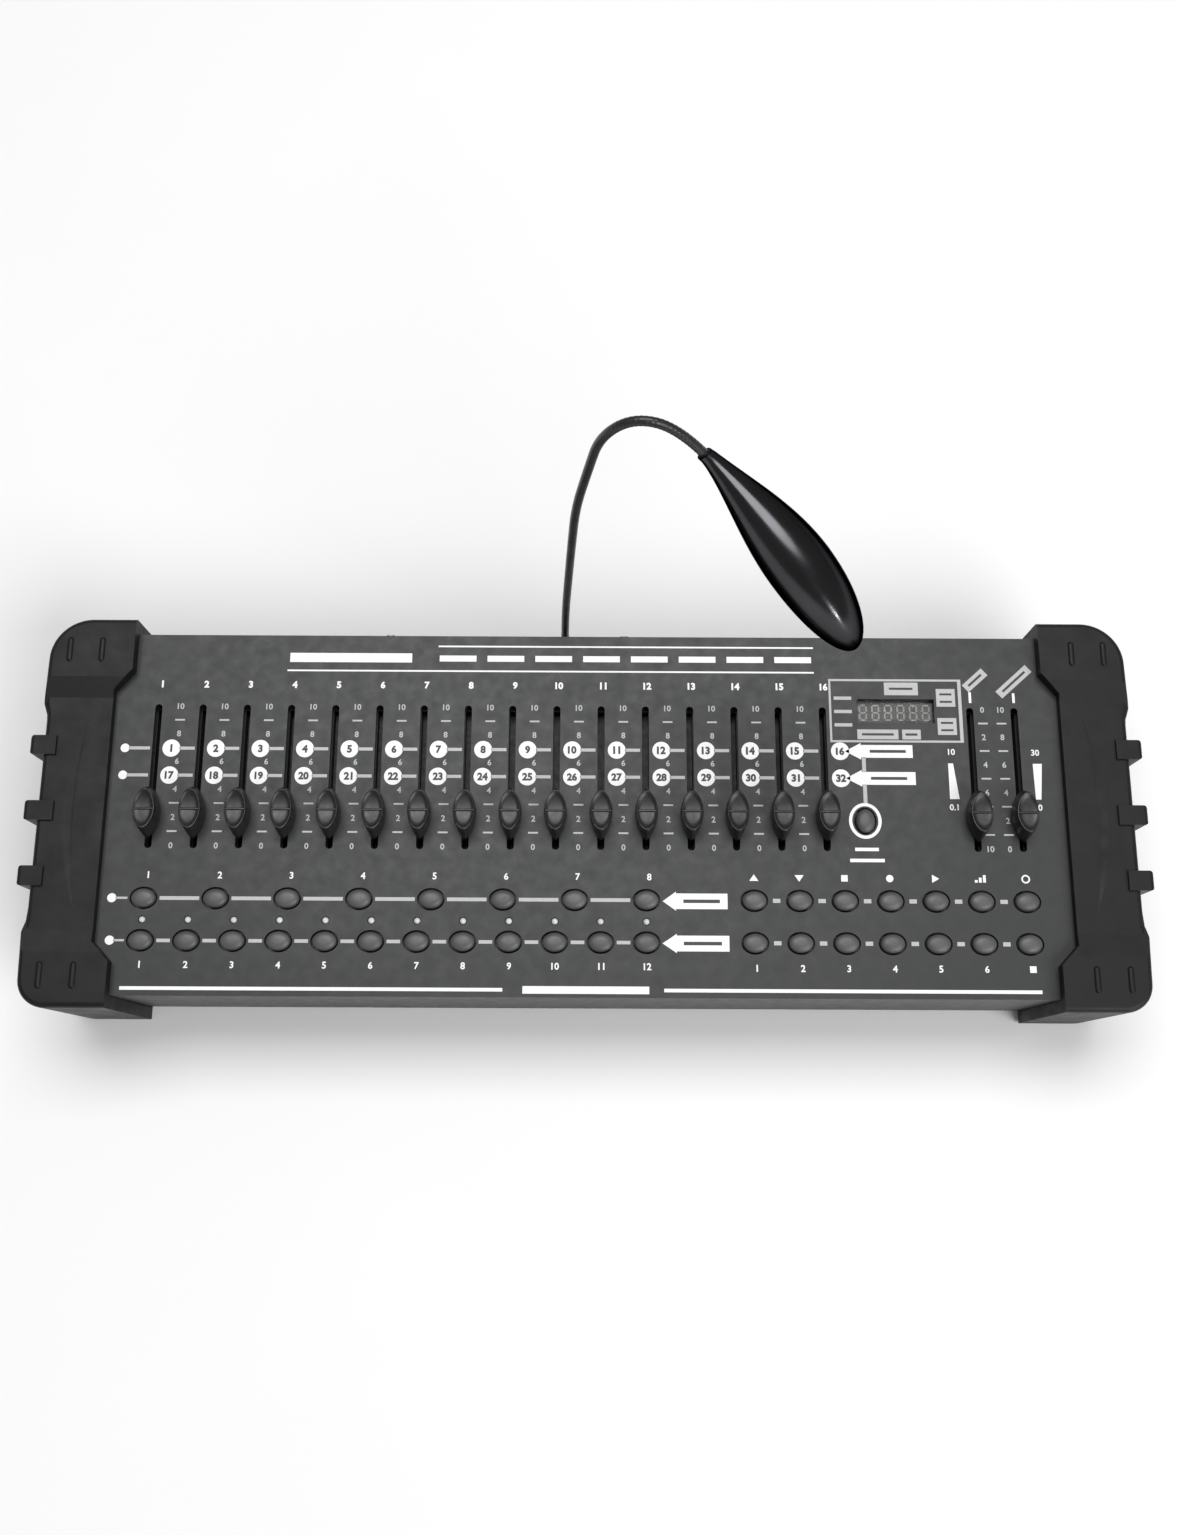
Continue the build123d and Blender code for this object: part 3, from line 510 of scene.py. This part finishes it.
def print_channels():
    """Channel numbers, slot scales and the two rows of numbered discs."""
    rows = (29.7, 16.6)
    slot_gap = 2.6
    disc_radius = 4.2
    line_thick = 1.5
    for number, place in enumerate(channel_places, 1):
        x = place.x
        white.number(str(number), x + 1.0, 61.3, *CHANNEL_NUMBER)
        if number == CHANNELS:
            continue
        scale_marks(x + 10.5, (0, 1, 4))
        for row, y in enumerate(rows):
            disc_x = x + 7.4
            white.disc(disc_x, y, disc_radius)
            dark.number(str(number + CHANNELS * row), disc_x, y, *DISC_NUMBER)
            soft.line(disc_x + disc_radius - 0.3, x + CHANNEL_PITCH - slot_gap, y, line_thick)
    for row, y in enumerate(rows):
        start = channel_places[0].x - 14.4
        white.disc(start, y, START_DOT)
        soft.line(start + 1.9, channel_places[0].x - slot_gap, y, line_thick)
        last = channel_places[-1].x + 7.7
        white.disc(last, y, 4.3)
        dark.number(str(CHANNELS * (row + 1)), last, y, *DISC_NUMBER)
        arrow(last + 2.3, last + 9.8, last + 34.2 + 0.8 * row, y, 4.0, 3.1)
        dark.line(last + 14.0, last + 31.0, y, 1.4)


def arrow(tip, neck, end, y, head, half):
    """A left-pointing arrow with a box for its tail. Head and half are half its depths there."""
    white.shape([(tip, y), (neck, y - head), (neck, y - half), (end, y - half),
                 (end, y + half), (neck, y + half), (neck, y + head)])


def print_page_button():
    """Ring round the page button and its line up to the numbered rows."""
    x, y = page_place
    ring_x, ring_y = 7.6, 8.5
    white.ring(x, y + 0.1, ring_x, ring_y, 1.5)
    soft.bar(x - 0.4, x + 1.4, y + ring_y, 13.6)
    soft.bar(x - 0.4, x + 1.4, 19.6, 26.8)
    white.line(x - 5.3, x + 5.7, y - 13.4, 1.6)
    white.line(x - 7.8, x + 8.2, y - 18.6, 1.6)


def print_display():
    """Frame round the display with its plain tabs and marks."""
    left, right, low, high = 115.3, 178.4, 34.1, 65.3
    thin = 1.0
    soft.line(left, right, high - thin / 2, thin)
    soft.line(left, right, low + thin / 2, thin)
    soft.bar(left, left + thin, low + thin, high - thin)
    soft.bar(right - 1.6, right, low + thin, high - thin)
    soft.bar(141.8, 157.9, 57.4, 63.7)
    dark.line(144.2, 155.4, 60.6, 1.1)
    for y in (55.8, 49.2, 42.6):
        soft.line(117.6, 126.0, y, 1.6)
    soft.bar(166.4, 175.4, 51.8, 60.6)
    soft.bar(166.4, 175.4, 37.9, 46.2)
    for y in (57.9, 54.2, 43.8, 40.2):
        dark.line(168.0, 173.8, y, 1.0)
    soft.bar(128.2, 147.6, 35.6, 40.4)
    soft.bar(149.4, 158.2, 35.6, 40.4)
    dark.line(130.4, 145.4, 38.0, 1.1)
    dark.line(151.0, 156.6, 38.0, 1.1)


def print_masters():
    """Scales, wedges, end values and slanted tabs of the speed and fade faders."""
    every_gap = range(5)
    lean = 42.0
    speed, fade = speed_place.x, fade_place.x
    scale_marks(speed + 5.9, every_gap, downwards=True)
    scale_marks(fade - 6.3, every_gap)
    soft.slanted(speed + 3.3, 65.0, 12.8, 4.6, lean)
    dark.slanted(speed + 3.3, 65.0, 8.6, 1.1, lean)
    soft.slanted(fade + 0.8, 64.4, 20.0, 4.6, lean)
    dark.slanted(fade + 0.8, 64.4, 15.0, 1.1, lean)
    white.bar(speed - 0.1, speed + 1.1, 53.7, 59.0)
    white.bar(fade - 0.4, fade + 0.8, 53.8, 58.6)
    wedge_top, wedge_low = 24.0, 6.8
    white.shape([(speed - 11.7, wedge_low), (speed - 7.2, wedge_low),
                 (speed - 9.4, wedge_top), (speed - 11.7, wedge_top)])
    white.shape([(fade + 7.5, wedge_low), (fade + 10.0, wedge_low),
                 (fade + 11.4, wedge_top), (fade + 7.1, wedge_top)])
    low_end = 2.9
    white.number("10", speed - 9.8, 29.6, *END_NUMBER)
    white.number("0.1", speed - 10.0, low_end, *END_NUMBER)
    white.number("30", fade + 8.6, 29.4, *END_NUMBER)
    white.number("0", fade + 9.2, low_end, *END_NUMBER)


def dashes_between(places, y, gap, thick):
    """Short bars between neighbouring buttons."""
    for (x0, _), (x1, _) in zip(places, places[1:]):
        soft.line(x0 + gap, x1 - gap, y, thick)


def sign(kind, x, y):
    """A plain sign over or under a button."""
    if kind == "up":
        white.shape([(x - 2.1, y - 1.4), (x + 2.1, y - 1.4), (x, y + 1.7)])
    elif kind == "down":
        white.shape([(x - 2.1, y + 1.4), (x, y - 1.7), (x + 2.1, y + 1.4)])
    elif kind == "square":
        white.bar(x - 1.5, x + 1.5, y - 1.5, y + 1.5)
    elif kind == "disc":
        white.disc(x, y, 1.7)
    elif kind == "right":
        white.shape([(x - 1.4, y - 1.9), (x + 1.9, y), (x - 1.4, y + 1.9)])
    elif kind == "steps":
        for i, tall in enumerate((1.2, 2.3, 3.5)):
            white.bar(x - 2.6 + 1.9 * i, x - 1.3 + 1.9 * i, y - 1.7, y - 1.7 + tall)
    else:
        white.ring(x, y, 2.0, 2.0, 0.7)


def print_buttons():
    """Numbers, signs, lines and arrows of the two button rows."""
    scene_y = scene_places[0][1]
    scanner_y = scanner_places[0][1]
    around = BUTTON_LONG / 2 + 1.9
    sign_rise, lower_drop, lower_shift = 10.6, 11.4, 0.6
    for number, (x, y) in enumerate(scene_places, 1):
        white.number(str(number), x + 1.4, y + 10.8, *BUTTON_NUMBER)
    dashes_between(scene_places, scene_y, around, 1.7)
    start = scene_places[0][0] - 14.6
    white.disc(start, scene_y, START_DOT)
    soft.line(start + 1.8, scene_places[0][0] - around, scene_y, 1.0)
    for number, (x, y) in enumerate(scanner_places, 1):
        white.number(str(number), x + 0.4, y - 10.9, *BUTTON_NUMBER)
    dashes_between(scanner_places, scanner_y, around, 1.6)
    white.disc(start + 0.6, scanner_y, START_DOT)
    soft.line(start + 2.4, scanner_places[0][0] - around, scanner_y, 1.0)
    arrow(35.5, 41.6, 65.3, scene_y - 0.4, 4.4, 3.6)
    dark.line(45.0, 61.8, scene_y - 0.4, 1.6)
    arrow(35.3, 41.8, 65.8, scanner_y - 0.3, 4.4, 3.6)
    dark.line(45.0, 62.4, scanner_y - 0.3, 1.6)
    signs = ("up", "down", "square", "disc", "right", "steps", "ring")
    for kind, (x, y) in zip(signs, function_places):
        sign(kind, x, y + sign_rise)
    lower_places = chase_places + [blackout_place]
    for number, (x, y) in enumerate(chase_places, 1):
        white.number(str(number), x + lower_shift, y - lower_drop, *BUTTON_NUMBER)
    sign("square", blackout_place[0] + lower_shift, blackout_place[1] - lower_drop)
    for places in (function_places, lower_places):
        for (x0, y), (x1, _) in zip(places, places[1:]):
            soft.line((x0 + x1) / 2 - 1.9, (x0 + x1) / 2 + 1.5, y, 1.9)


print_titles()
print_channels()
print_page_button()
print_display()
print_masters()
print_buttons()
for collected, label, material in ((white, "panel_print_white", white_ink),
                                   (soft, "panel_print_grey", soft_ink),
                                   (dark, "panel_print_dark", dark_ink)):
    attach(collected.piece(label, material), "desk")


# ---- printing beside the rear sockets ----
def rear_print():
    """Numbers over the rear connections, and rings round two of them, read from behind the desk."""
    printed = Ink(HALF_DEPTH - INK_SINK, HALF_DEPTH + INK_THICKNESS)
    flange = 13.0      # half the width of a three-pole socket
    left, right = box_mm("dmx_sockets")[0].x + flange, box_mm("dmx_sockets")[1].x - flange
    places = ((left, 56.0), (right, 56.0), (centre("polarity_switch_body").x, 34.0),
              (centre("midi_socket").x, 38.0), (centre("audio_socket").x, 38.0), (centre("dc_inlet").x, 34.0))
    for number, (x, z) in enumerate(places, 1):
        printed.number(str(number), -x, z, *REAR_NUMBER)
    for node in ("midi_socket", "audio_socket"):
        printed.ring(-centre(node).x, 24.0, 11.0, 11.0, 0.5)
    turned = [(-v.x, v.z, v.y) for v in printed.vertices]
    return mesh_piece("rear_print", turned, printed.faces, white_ink)


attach(rear_print(), "desk")


# ---- fader knobs ----
def boat_ring(x, y, half_width, half_length, pinch, height):
    """An outline with pointed ends. Height is a number, or a function of the distance from the middle."""
    steps = 56
    points = []
    for i in range(steps):
        a = 2 * math.pi * i / steps
        across = half_width * math.cos(a) * (1 - pinch * math.sin(a) ** 2)
        along = half_length * math.sin(a)
        z = height(along) if callable(height) else height
        points.append((x + across, y + along, z))
    return points


def knob(x, y):
    """Boat-shaped knob with a dished finger rest, a marker ridge and a lever into the slot."""
    foot, crown, dish = PANEL_TOP + 1.0, PANEL_TOP + 12.6, 1.3
    curve = 68.0

    def rest(drop):
        return lambda along: crown - dish + along * along / curve - drop

    made = Solids()
    made.stack([
        boat_ring(x, y, 4.3, 11.4, 0.42, foot),
        boat_ring(x, y, 4.75, 12.0, 0.42, foot + 0.25),
        boat_ring(x, y, 5.0, 12.1, 0.42, foot + 1.2),
        boat_ring(x, y, 5.25, 11.9, 0.4, foot + 3.5),
        boat_ring(x, y, 5.3, 11.4, 0.36, foot + 5.5),
        boat_ring(x, y, 5.2, 10.5, 0.26, foot + 8.0),
        boat_ring(x, y, 5.05, 9.7, 0.16, rest(0.9)),
        boat_ring(x, y, 4.95, 9.4, 0.1, rest(0.35)),
        boat_ring(x, y, 4.8, 9.1, 0.07, rest(0.08)),
        boat_ring(x, y, 4.55, 8.75, 0.05, rest(0.0)),
        boat_ring(x, y, 4.25, 8.35, 0.04, rest(0.12)),
        boat_ring(x, y, 3.8, 7.7, 0.03, rest(0.42)),
        boat_ring(x, y, 2.8, 5.9, 0.0, rest(0.5)),
        boat_ring(x, y, 1.5, 3.2, 0.0, rest(0.52)),
        boat_ring(x, y, 0.4, 0.9, 0.0, rest(0.52)),
    ])
    ridge_top, ridge_low = crown - dish + 0.1, crown - dish - 1.2
    section = [(-0.75, ridge_low), (0.75, ridge_low), (0.5, ridge_top - 0.25), (0.2, ridge_top),
               (-0.2, ridge_top), (-0.5, ridge_top - 0.25)]
    made.stack([[(x + side, y + along, z) for along, z in section] for side in (-4.3, 4.3)])
    made.box((x - 0.9, y - 2.4, PANEL_TOP - 10.0), (x + 0.9, y + 2.4, foot + 1.5))
    return made


def make_knobs():
    names = [(f"fader_knob_{i:02d}", f"fader_{i:02d}") for i in range(1, CHANNELS + 1)]
    names += [("fader_knob_speed", "fader_speed"), ("fader_knob_fade", "fader_fade")]
    for node, body in names:
        place = centre(node)
        piece = knob(place.x, place.y).piece(node.replace("knob", "cap"), knob_plastic, 38)
        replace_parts(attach(piece, body), node)


make_knobs()


# ---- buttons ----
def oval_ring(x, y, half_long, half_short, z, upright):
    """An oval outline."""
    steps = 44
    width, depth = (half_short, half_long) if upright else (half_long, half_short)
    angles = [2 * math.pi * i / steps for i in range(steps)]
    return [(x + width * math.cos(a), y + depth * math.sin(a), z) for a in angles]


def button_cap(target, x, y, upright=False):
    """Domed oval cap with a collar under the panel and a stem."""
    top, shoulder, collar = PANEL_TOP + 2.4, PANEL_TOP + 0.7, PANEL_TOP - 6.0
    long, short = BUTTON_LONG / 2, BUTTON_SHORT / 2
    stem, stem_foot, collar_thick = 1.7, PANEL_TOP - 11.8, 1.2
    rings = [oval_ring(x, y, stem, stem, stem_foot, upright), oval_ring(x, y, stem, stem, collar, upright)]
    collar_long, collar_short = COLLAR_LONG / 2, COLLAR_SHORT / 2
    rings.append(oval_ring(x, y, collar_long, collar_short, collar, upright))
    rings.append(oval_ring(x, y, collar_long, collar_short, collar + collar_thick, upright))
    rings.append(oval_ring(x, y, long, short, collar + collar_thick, upright))
    rings.append(oval_ring(x, y, long, short, shoulder, upright))
    for share in (0.985, 0.95, 0.89, 0.8, 0.65, 0.45, 0.25, 0.08):
        rise = (top - shoulder) * (1 - share ** 3.2) ** 0.62
        rings.append(oval_ring(x, y, long * share, short * share, shoulder + rise, upright))
    target.stack(rings)


def make_buttons():
    groups = [(f"button_scene_{i}", f"scene_button_{i}", [place]) for i, place in enumerate(scene_places, 1)]
    groups += [("buttons_scanner", "scanner_buttons", scanner_places),
               ("buttons_function", "function_buttons", function_places),
               ("buttons_chase", "chase_buttons", chase_places),
               ("button_blackout", "blackout_button", [blackout_place]),
               ("button_page", "page_button", [page_place])]
    for node, body, places in groups:
        caps = Solids()
        for x, y in places:
            button_cap(caps, x, y, upright=node == "button_page")
        piece = caps.piece(node.replace("button", "keycap"), button_plastic, 40)
        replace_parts(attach(piece, body), node)


make_buttons()


# ---- lamp arm and head ----
ARM_RADIUS = 1.9
ARM_END = (42.2, 92.0, 249.6)      # where the arm enters the lamp head, and the head's hinge
ARM_ROUTE = [(-11.0, 96.0, 32.0), (-10.9, 96.0, 45.0), (-10.0, 96.6, 80.0), (-7.6, 97.0, 130.0),
             (-6.2, 97.2, 158.0), (-4.4, 97.4, 191.0), (0.6, 97.6, 225.0), (4.8, 97.6, 251.6),
             (16.6, 97.4, 266.0), (32.0, 95.6, 262.0), ARM_END]


def smooth_route(points, step):
    """Points about a step apart on the smooth curve that a chain of points steers."""
    curve = bpy.data.curves.new("route", "CURVE")
    curve.dimensions = "3D"
    curve.resolution_u = 24
    spline = curve.splines.new("NURBS")
    spline.points.add(len(points) - 1)
    for control, place in zip(spline.points, points):
        control.co = (*place, 1.0)
    spline.order_u = 3
    spline.use_endpoint_u = True
    holder = bpy.data.objects.new("route", curve)
    mesh = bpy.data.meshes.new_from_object(holder)
    fine = [v.co.copy() for v in mesh.vertices]
    bpy.data.objects.remove(holder)
    bpy.data.curves.remove(curve)
    bpy.data.meshes.remove(mesh)
    even = [fine[0]]
    walked = 0.0
    for before, after in zip(fine, fine[1:]):
        span = (after - before).length
        while walked + span >= step * len(even):
            even.append(before.lerp(after, (step * len(even) - walked) / span))
        walked += span
    return even + [fine[-1]]


def tube_rings(line, radius_at):
    """Rings round a line, carried along without twist."""
    steps = 20
    rings = []
    side = Vector((1, 0, 0))
    for i, point in enumerate(line):
        along = (line[min(i + 1, len(line) - 1)] - line[max(i - 1, 0)]).normalized()
        side = (side - along * side.dot(along)).normalized()
        other = along.cross(side)
        radius = radius_at(i)
        angles = [2 * math.pi * k / steps for k in range(steps)]
        rings.append([point + side * (radius * math.cos(a)) + other * (radius * math.sin(a)) for a in angles])
    return rings


def make_arm():
    """Gooseneck in three lengths along one smooth route, split at two points."""
    step = 0.45
    steps_per_rib = 4
    ribs = 0.05
    line = smooth_route(ARM_ROUTE, step)
    rings = tube_rings(line, lambda i: ARM_RADIUS - ribs + ribs * math.cos(2 * math.pi * i / steps_per_rib))

    def nearest(target):
        return min(range(len(line)), key=lambda i: (line[i] - Vector(target)).length)

    low_cut = nearest((-9.0, 96.8, 100.0))
    high_cut = nearest((-1.5, 97.5, 212.0))
    lengths = (("arm_sleeve_lower", 0, low_cut, "desk", "lamp_arm_lower",
                (-10.9, 96.0, 38.0), (-10.6, 96.1, 58.0)),
               ("arm_sleeve_middle", low_cut, high_cut, "lamp_arm_lower", "lamp_arm_upper",
                (-8.1, 96.9, 118.0), (-3.2, 97.4, 200.0)),
               ("arm_sleeve_upper", high_cut, len(line) - 1, "lamp_arm_upper", "lamp_head",
                (0.6, 97.6, 225.0), ARM_END))
    for name, first, last, body, far_body, start, end in lengths:
        length = Solids()
        length.stack(rings[first:last + 1])
        piece = length.piece(name, arm_black, 50)
        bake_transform(piece)
        if name == "arm_sleeve_lower":
            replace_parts(piece, "gooseneck_lower")
        elif name == "arm_sleeve_middle":
            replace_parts(piece, "gooseneck_upper")


make_arm()


# ---- lamp head ----
HEAD_NECK = Vector(ARM_END)
HEAD_TIP = Vector((107.6, 44.6, 173.0))
HEAD_LENGTH = (HEAD_TIP - HEAD_NECK).length
HEAD_ALONG = (HEAD_TIP - HEAD_NECK).normalized()
HEAD_ACROSS = Vector((0, 0, 1)).cross(HEAD_ALONG).normalized()
HEAD_UP = HEAD_ALONG.cross(HEAD_ACROSS)
HEAD_WALL = 1.8
HEAD_NECK_RADIUS = 2.9
HEAD_RADIUS = 13.0
HEAD_WIDEST = 0.6      # as a share of the length


def head_radius(share):
    """Radius at a share of the length: it swells from the neck, then closes roundly at the tip."""
    if share < HEAD_WIDEST:
        swell = math.sin(math.pi / 2 * share / HEAD_WIDEST) ** 1.35
        return HEAD_NECK_RADIUS + (HEAD_RADIUS - HEAD_NECK_RADIUS) * swell
    reach = (share - HEAD_WIDEST) / (1 - HEAD_WIDEST)
    return HEAD_RADIUS * math.sqrt(max(0.0, 1 - reach ** 2.1))


def head_bow(share):
    """How far the head's middle line swings to its right."""
    return 2.8 * math.sin(math.pi * share) ** 0.6 + 0.8 * share


def head_point(share, angle, shrink=0.0):
    """A point on the lamp head. Angle 0 is to the right, and a quarter turn is up."""
    radius = max(head_radius(share) - shrink, 0.05)
    ends = shrink / HEAD_LENGTH
    along = (ends + share * (1 - 2 * ends)) * HEAD_LENGTH
    middle = HEAD_NECK + HEAD_ALONG * along + HEAD_ACROSS * head_bow(share)
    return middle + HEAD_ACROSS * (radius * math.cos(angle)) + HEAD_UP * (radius * math.sin(angle))


def curved_sheet(target, shares, turns, kept, depth, thickness):
    """Cells of the head's surface as a closed sheet, from a depth under the surface inwards."""
    around = len(turns)
    index, vertices, faces = {}, [], []

    def vertex(i, j, level):
        key = (i, j % around, level)
        if key not in index:
            index[key] = len(vertices)
            shrink = depth + (thickness if level else 0.0)
            vertices.append(head_point(shares[i], turns[j % around], shrink))
        return index[key]

    for i in range(len(shares) - 1):
        for j in range(around):
            if not kept(i, j):
                continue
            cell = ((i, j), (i + 1, j), (i + 1, j + 1), (i, j + 1))
            faces.append([vertex(a, b, 0) for a, b in cell])
            faces.append([vertex(a, b, 1) for a, b in reversed(cell)])
            beside = ((i, j - 1), (i + 1, j), (i, j + 1), (i - 1, j))
            edges = ((cell[0], cell[1]), (cell[1], cell[2]), (cell[2], cell[3]), (cell[3], cell[0]))
            for (ni, nj), (a, b) in zip(beside, edges):
                inside = 0 <= ni < len(shares) - 1 and kept(ni, nj % around)
                if not inside:
                    faces.append([vertex(*b, 0), vertex(*a, 0), vertex(*a, 1), vertex(*b, 1)])
    target.add(vertices, faces)


def make_head():
    """Hollow lamp shell with a long window underneath, and the clear lens in it."""
    steps_along, steps_round = 72, 72
    shares = [1 - (1 - i / steps_along) ** 1.5 for i in range(steps_along + 1)]
    turns = [2 * math.pi * j / steps_round for j in range(steps_round)]
    under = steps_round * 3 // 4
    half_window = 5
    window_from, window_to = 0.36, 0.88      # as shares of the length

    def window(i, j):
        middle = (shares[i] + shares[i + 1]) / 2
        return window_from < middle < window_to and under - half_window <= j < under + half_window

    shell, lens = Solids(), Solids()
    curved_sheet(shell, shares, turns, lambda i, j: not window(i, j), 0.0, HEAD_WALL)
    curved_sheet(lens, shares, turns, window, 0.15, HEAD_WALL - 0.5)
    shell_piece = shell.piece("lamp_shell", lamp_black, 50)
    lens_piece = lens.piece("lamp_window", lamp_clear, 50)
    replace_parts(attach(shell_piece, "lamp_head"), "lamp_head_shell")
    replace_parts(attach(lens_piece, "lamp_head"), "lamp_lens")


make_head()


# ---- dressing the CAD nodes ----
def dress(material, *names):
    """Give CAD nodes a material."""
    for name in names:
        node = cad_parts[name]
        if not node.material_slots:
            node.data.materials.append(material)
        for slot in node.material_slots:
            slot.material = material


def soften(width, *names):
    """Round the sharp edges of CAD nodes without touching their own vertices."""
    for name in names:
        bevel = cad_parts[name].modifiers.new("soft_edges", "BEVEL")
        bevel.width = width * MM
        bevel.segments = 2
        bevel.limit_method = "ANGLE"
        bevel.angle_limit = math.radians(45)


soften(0.7, "top_panel")
soften(0.6, "end_cap_left", "end_cap_right")
dress(panel_paint, "top_panel")
dress(tray_paint, "base_tray")
dress(bumper_rubber, "end_cap_left", "end_cap_right")
dress(track_plastic, "fader_tracks")
dress(board_green, "control_board", "connector_board")
dress(switch_plastic, "button_switches", "polarity_switch_body", "power_switch_frame")
dress(display_black, "display_module")
dress(display_smoke, "display_window")
dress(led_plastic, "scanner_leds")
dress(post_metal, "board_standoffs")
dress(socket_metal, "dmx_sockets")
dress(socket_plastic, "midi_socket", "audio_socket", "lamp_socket", "dc_inlet")
dress(switch_cap_plastic, "polarity_switch_slider", "power_rocker")
dress(screw_metal, "screws")
dress(foot_rubber, "rubber_feet")
dress(arm_black, "lamp_plug")
dress(lamp_board, "lamp_led_board")


# ---- studio ----
def add_area(name, place, target, size, size_y, power, shape="RECTANGLE"):
    """A soft light aimed at a point, in metres and watts."""
    light = bpy.data.lights.new(name, "AREA")
    light.shape = shape
    light.size = size
    light.size_y = size_y
    light.energy = power
    holder = bpy.data.objects.new(name, light)
    holder.location = place
    holder.rotation_mode = "QUATERNION"
    holder.rotation_quaternion = (Vector(target) - Vector(place)).to_track_quat("-Z", "Y")
    bpy.context.scene.collection.objects.link(holder)


def make_floor():
    """A round sheet of pale paper, in metres, as far as the lights reach evenly."""
    radius, sides, level = 1.5, 96, -0.0002
    rim = [2 * math.pi * i / sides for i in range(sides)]
    mesh = bpy.data.meshes.new("floor")
    edge = [(radius * math.cos(a), radius * math.sin(a), level) for a in rim]
    mesh.from_pydata(edge, [], [list(range(sides))])
    mesh.materials.append(pale_floor("floor_paper"))
    floor = bpy.data.objects.new("floor", mesh)
    bpy.context.scene.collection.objects.link(floor)


def make_world():
    """Dim white room light behind a pale backdrop."""
    world = bpy.data.worlds.new("studio")
    world.use_nodes = True
    tree = world.node_tree
    room = tree.nodes["Background"]
    room.inputs["Color"].default_value = (1.0, 1.0, 1.0, 1.0)
    room.inputs["Strength"].default_value = 0.24
    backdrop = tree.nodes.new("ShaderNodeBackground")
    backdrop.inputs["Color"].default_value = (1.0, 1.0, 1.0, 1.0)
    backdrop.inputs["Strength"].default_value = 0.92
    mix = tree.nodes.new("ShaderNodeMixShader")
    ray = tree.nodes.new("ShaderNodeLightPath")
    tree.links.new(ray.outputs["Is Camera Ray"], mix.inputs["Fac"])
    tree.links.new(room.outputs["Background"], mix.inputs[1])
    tree.links.new(backdrop.outputs["Background"], mix.inputs[2])
    tree.links.new(mix.outputs["Shader"], tree.nodes["World Output"].inputs["Surface"])
    bpy.context.scene.world = world


def make_camera():
    """Camera high over the front edge, looking down and slightly to the rear."""
    place = Vector((1.6, -140.4, 716.2))
    tilt = math.radians(14.0)     # away from straight down
    roll = math.radians(0.27)
    back = Vector((0, -math.sin(tilt), math.cos(tilt)))
    up = Vector((0, math.cos(tilt), math.sin(tilt)))
    right = Vector((1, 0, 0))
    turned_right = right * math.cos(roll) + up * math.sin(roll)
    turned_up = up * math.cos(roll) - right * math.sin(roll)
    data = bpy.data.cameras.new("camera")
    data.sensor_width = 36.0
    data.lens = 33.33
    camera = bpy.data.objects.new("camera", data)
    turn = Matrix((turned_right, turned_up, back)).transposed().to_4x4()
    camera.matrix_world = Matrix.Translation(place * MM) @ turn
    bpy.context.scene.collection.objects.link(camera)
    bpy.context.scene.camera = camera


make_floor()
make_world()
make_camera()
add_area("key", (-0.1, 0.88, 2.6), (0.0, 0.0, 0.05), 2.1, 1.2, 50.0)
add_area("fill", (1.6, -1.6, 2.3), (0.0, 0.0, 0.05), 2.3, 1.9, 60.0, shape="ELLIPSE")
add_area("sparkle", (0.75, -0.8, 0.12), (0.1, 0.047, 0.19), 0.06, 0.06, 0.9, shape="ELLIPSE")
bpy.context.scene.view_settings.view_transform = "Standard"
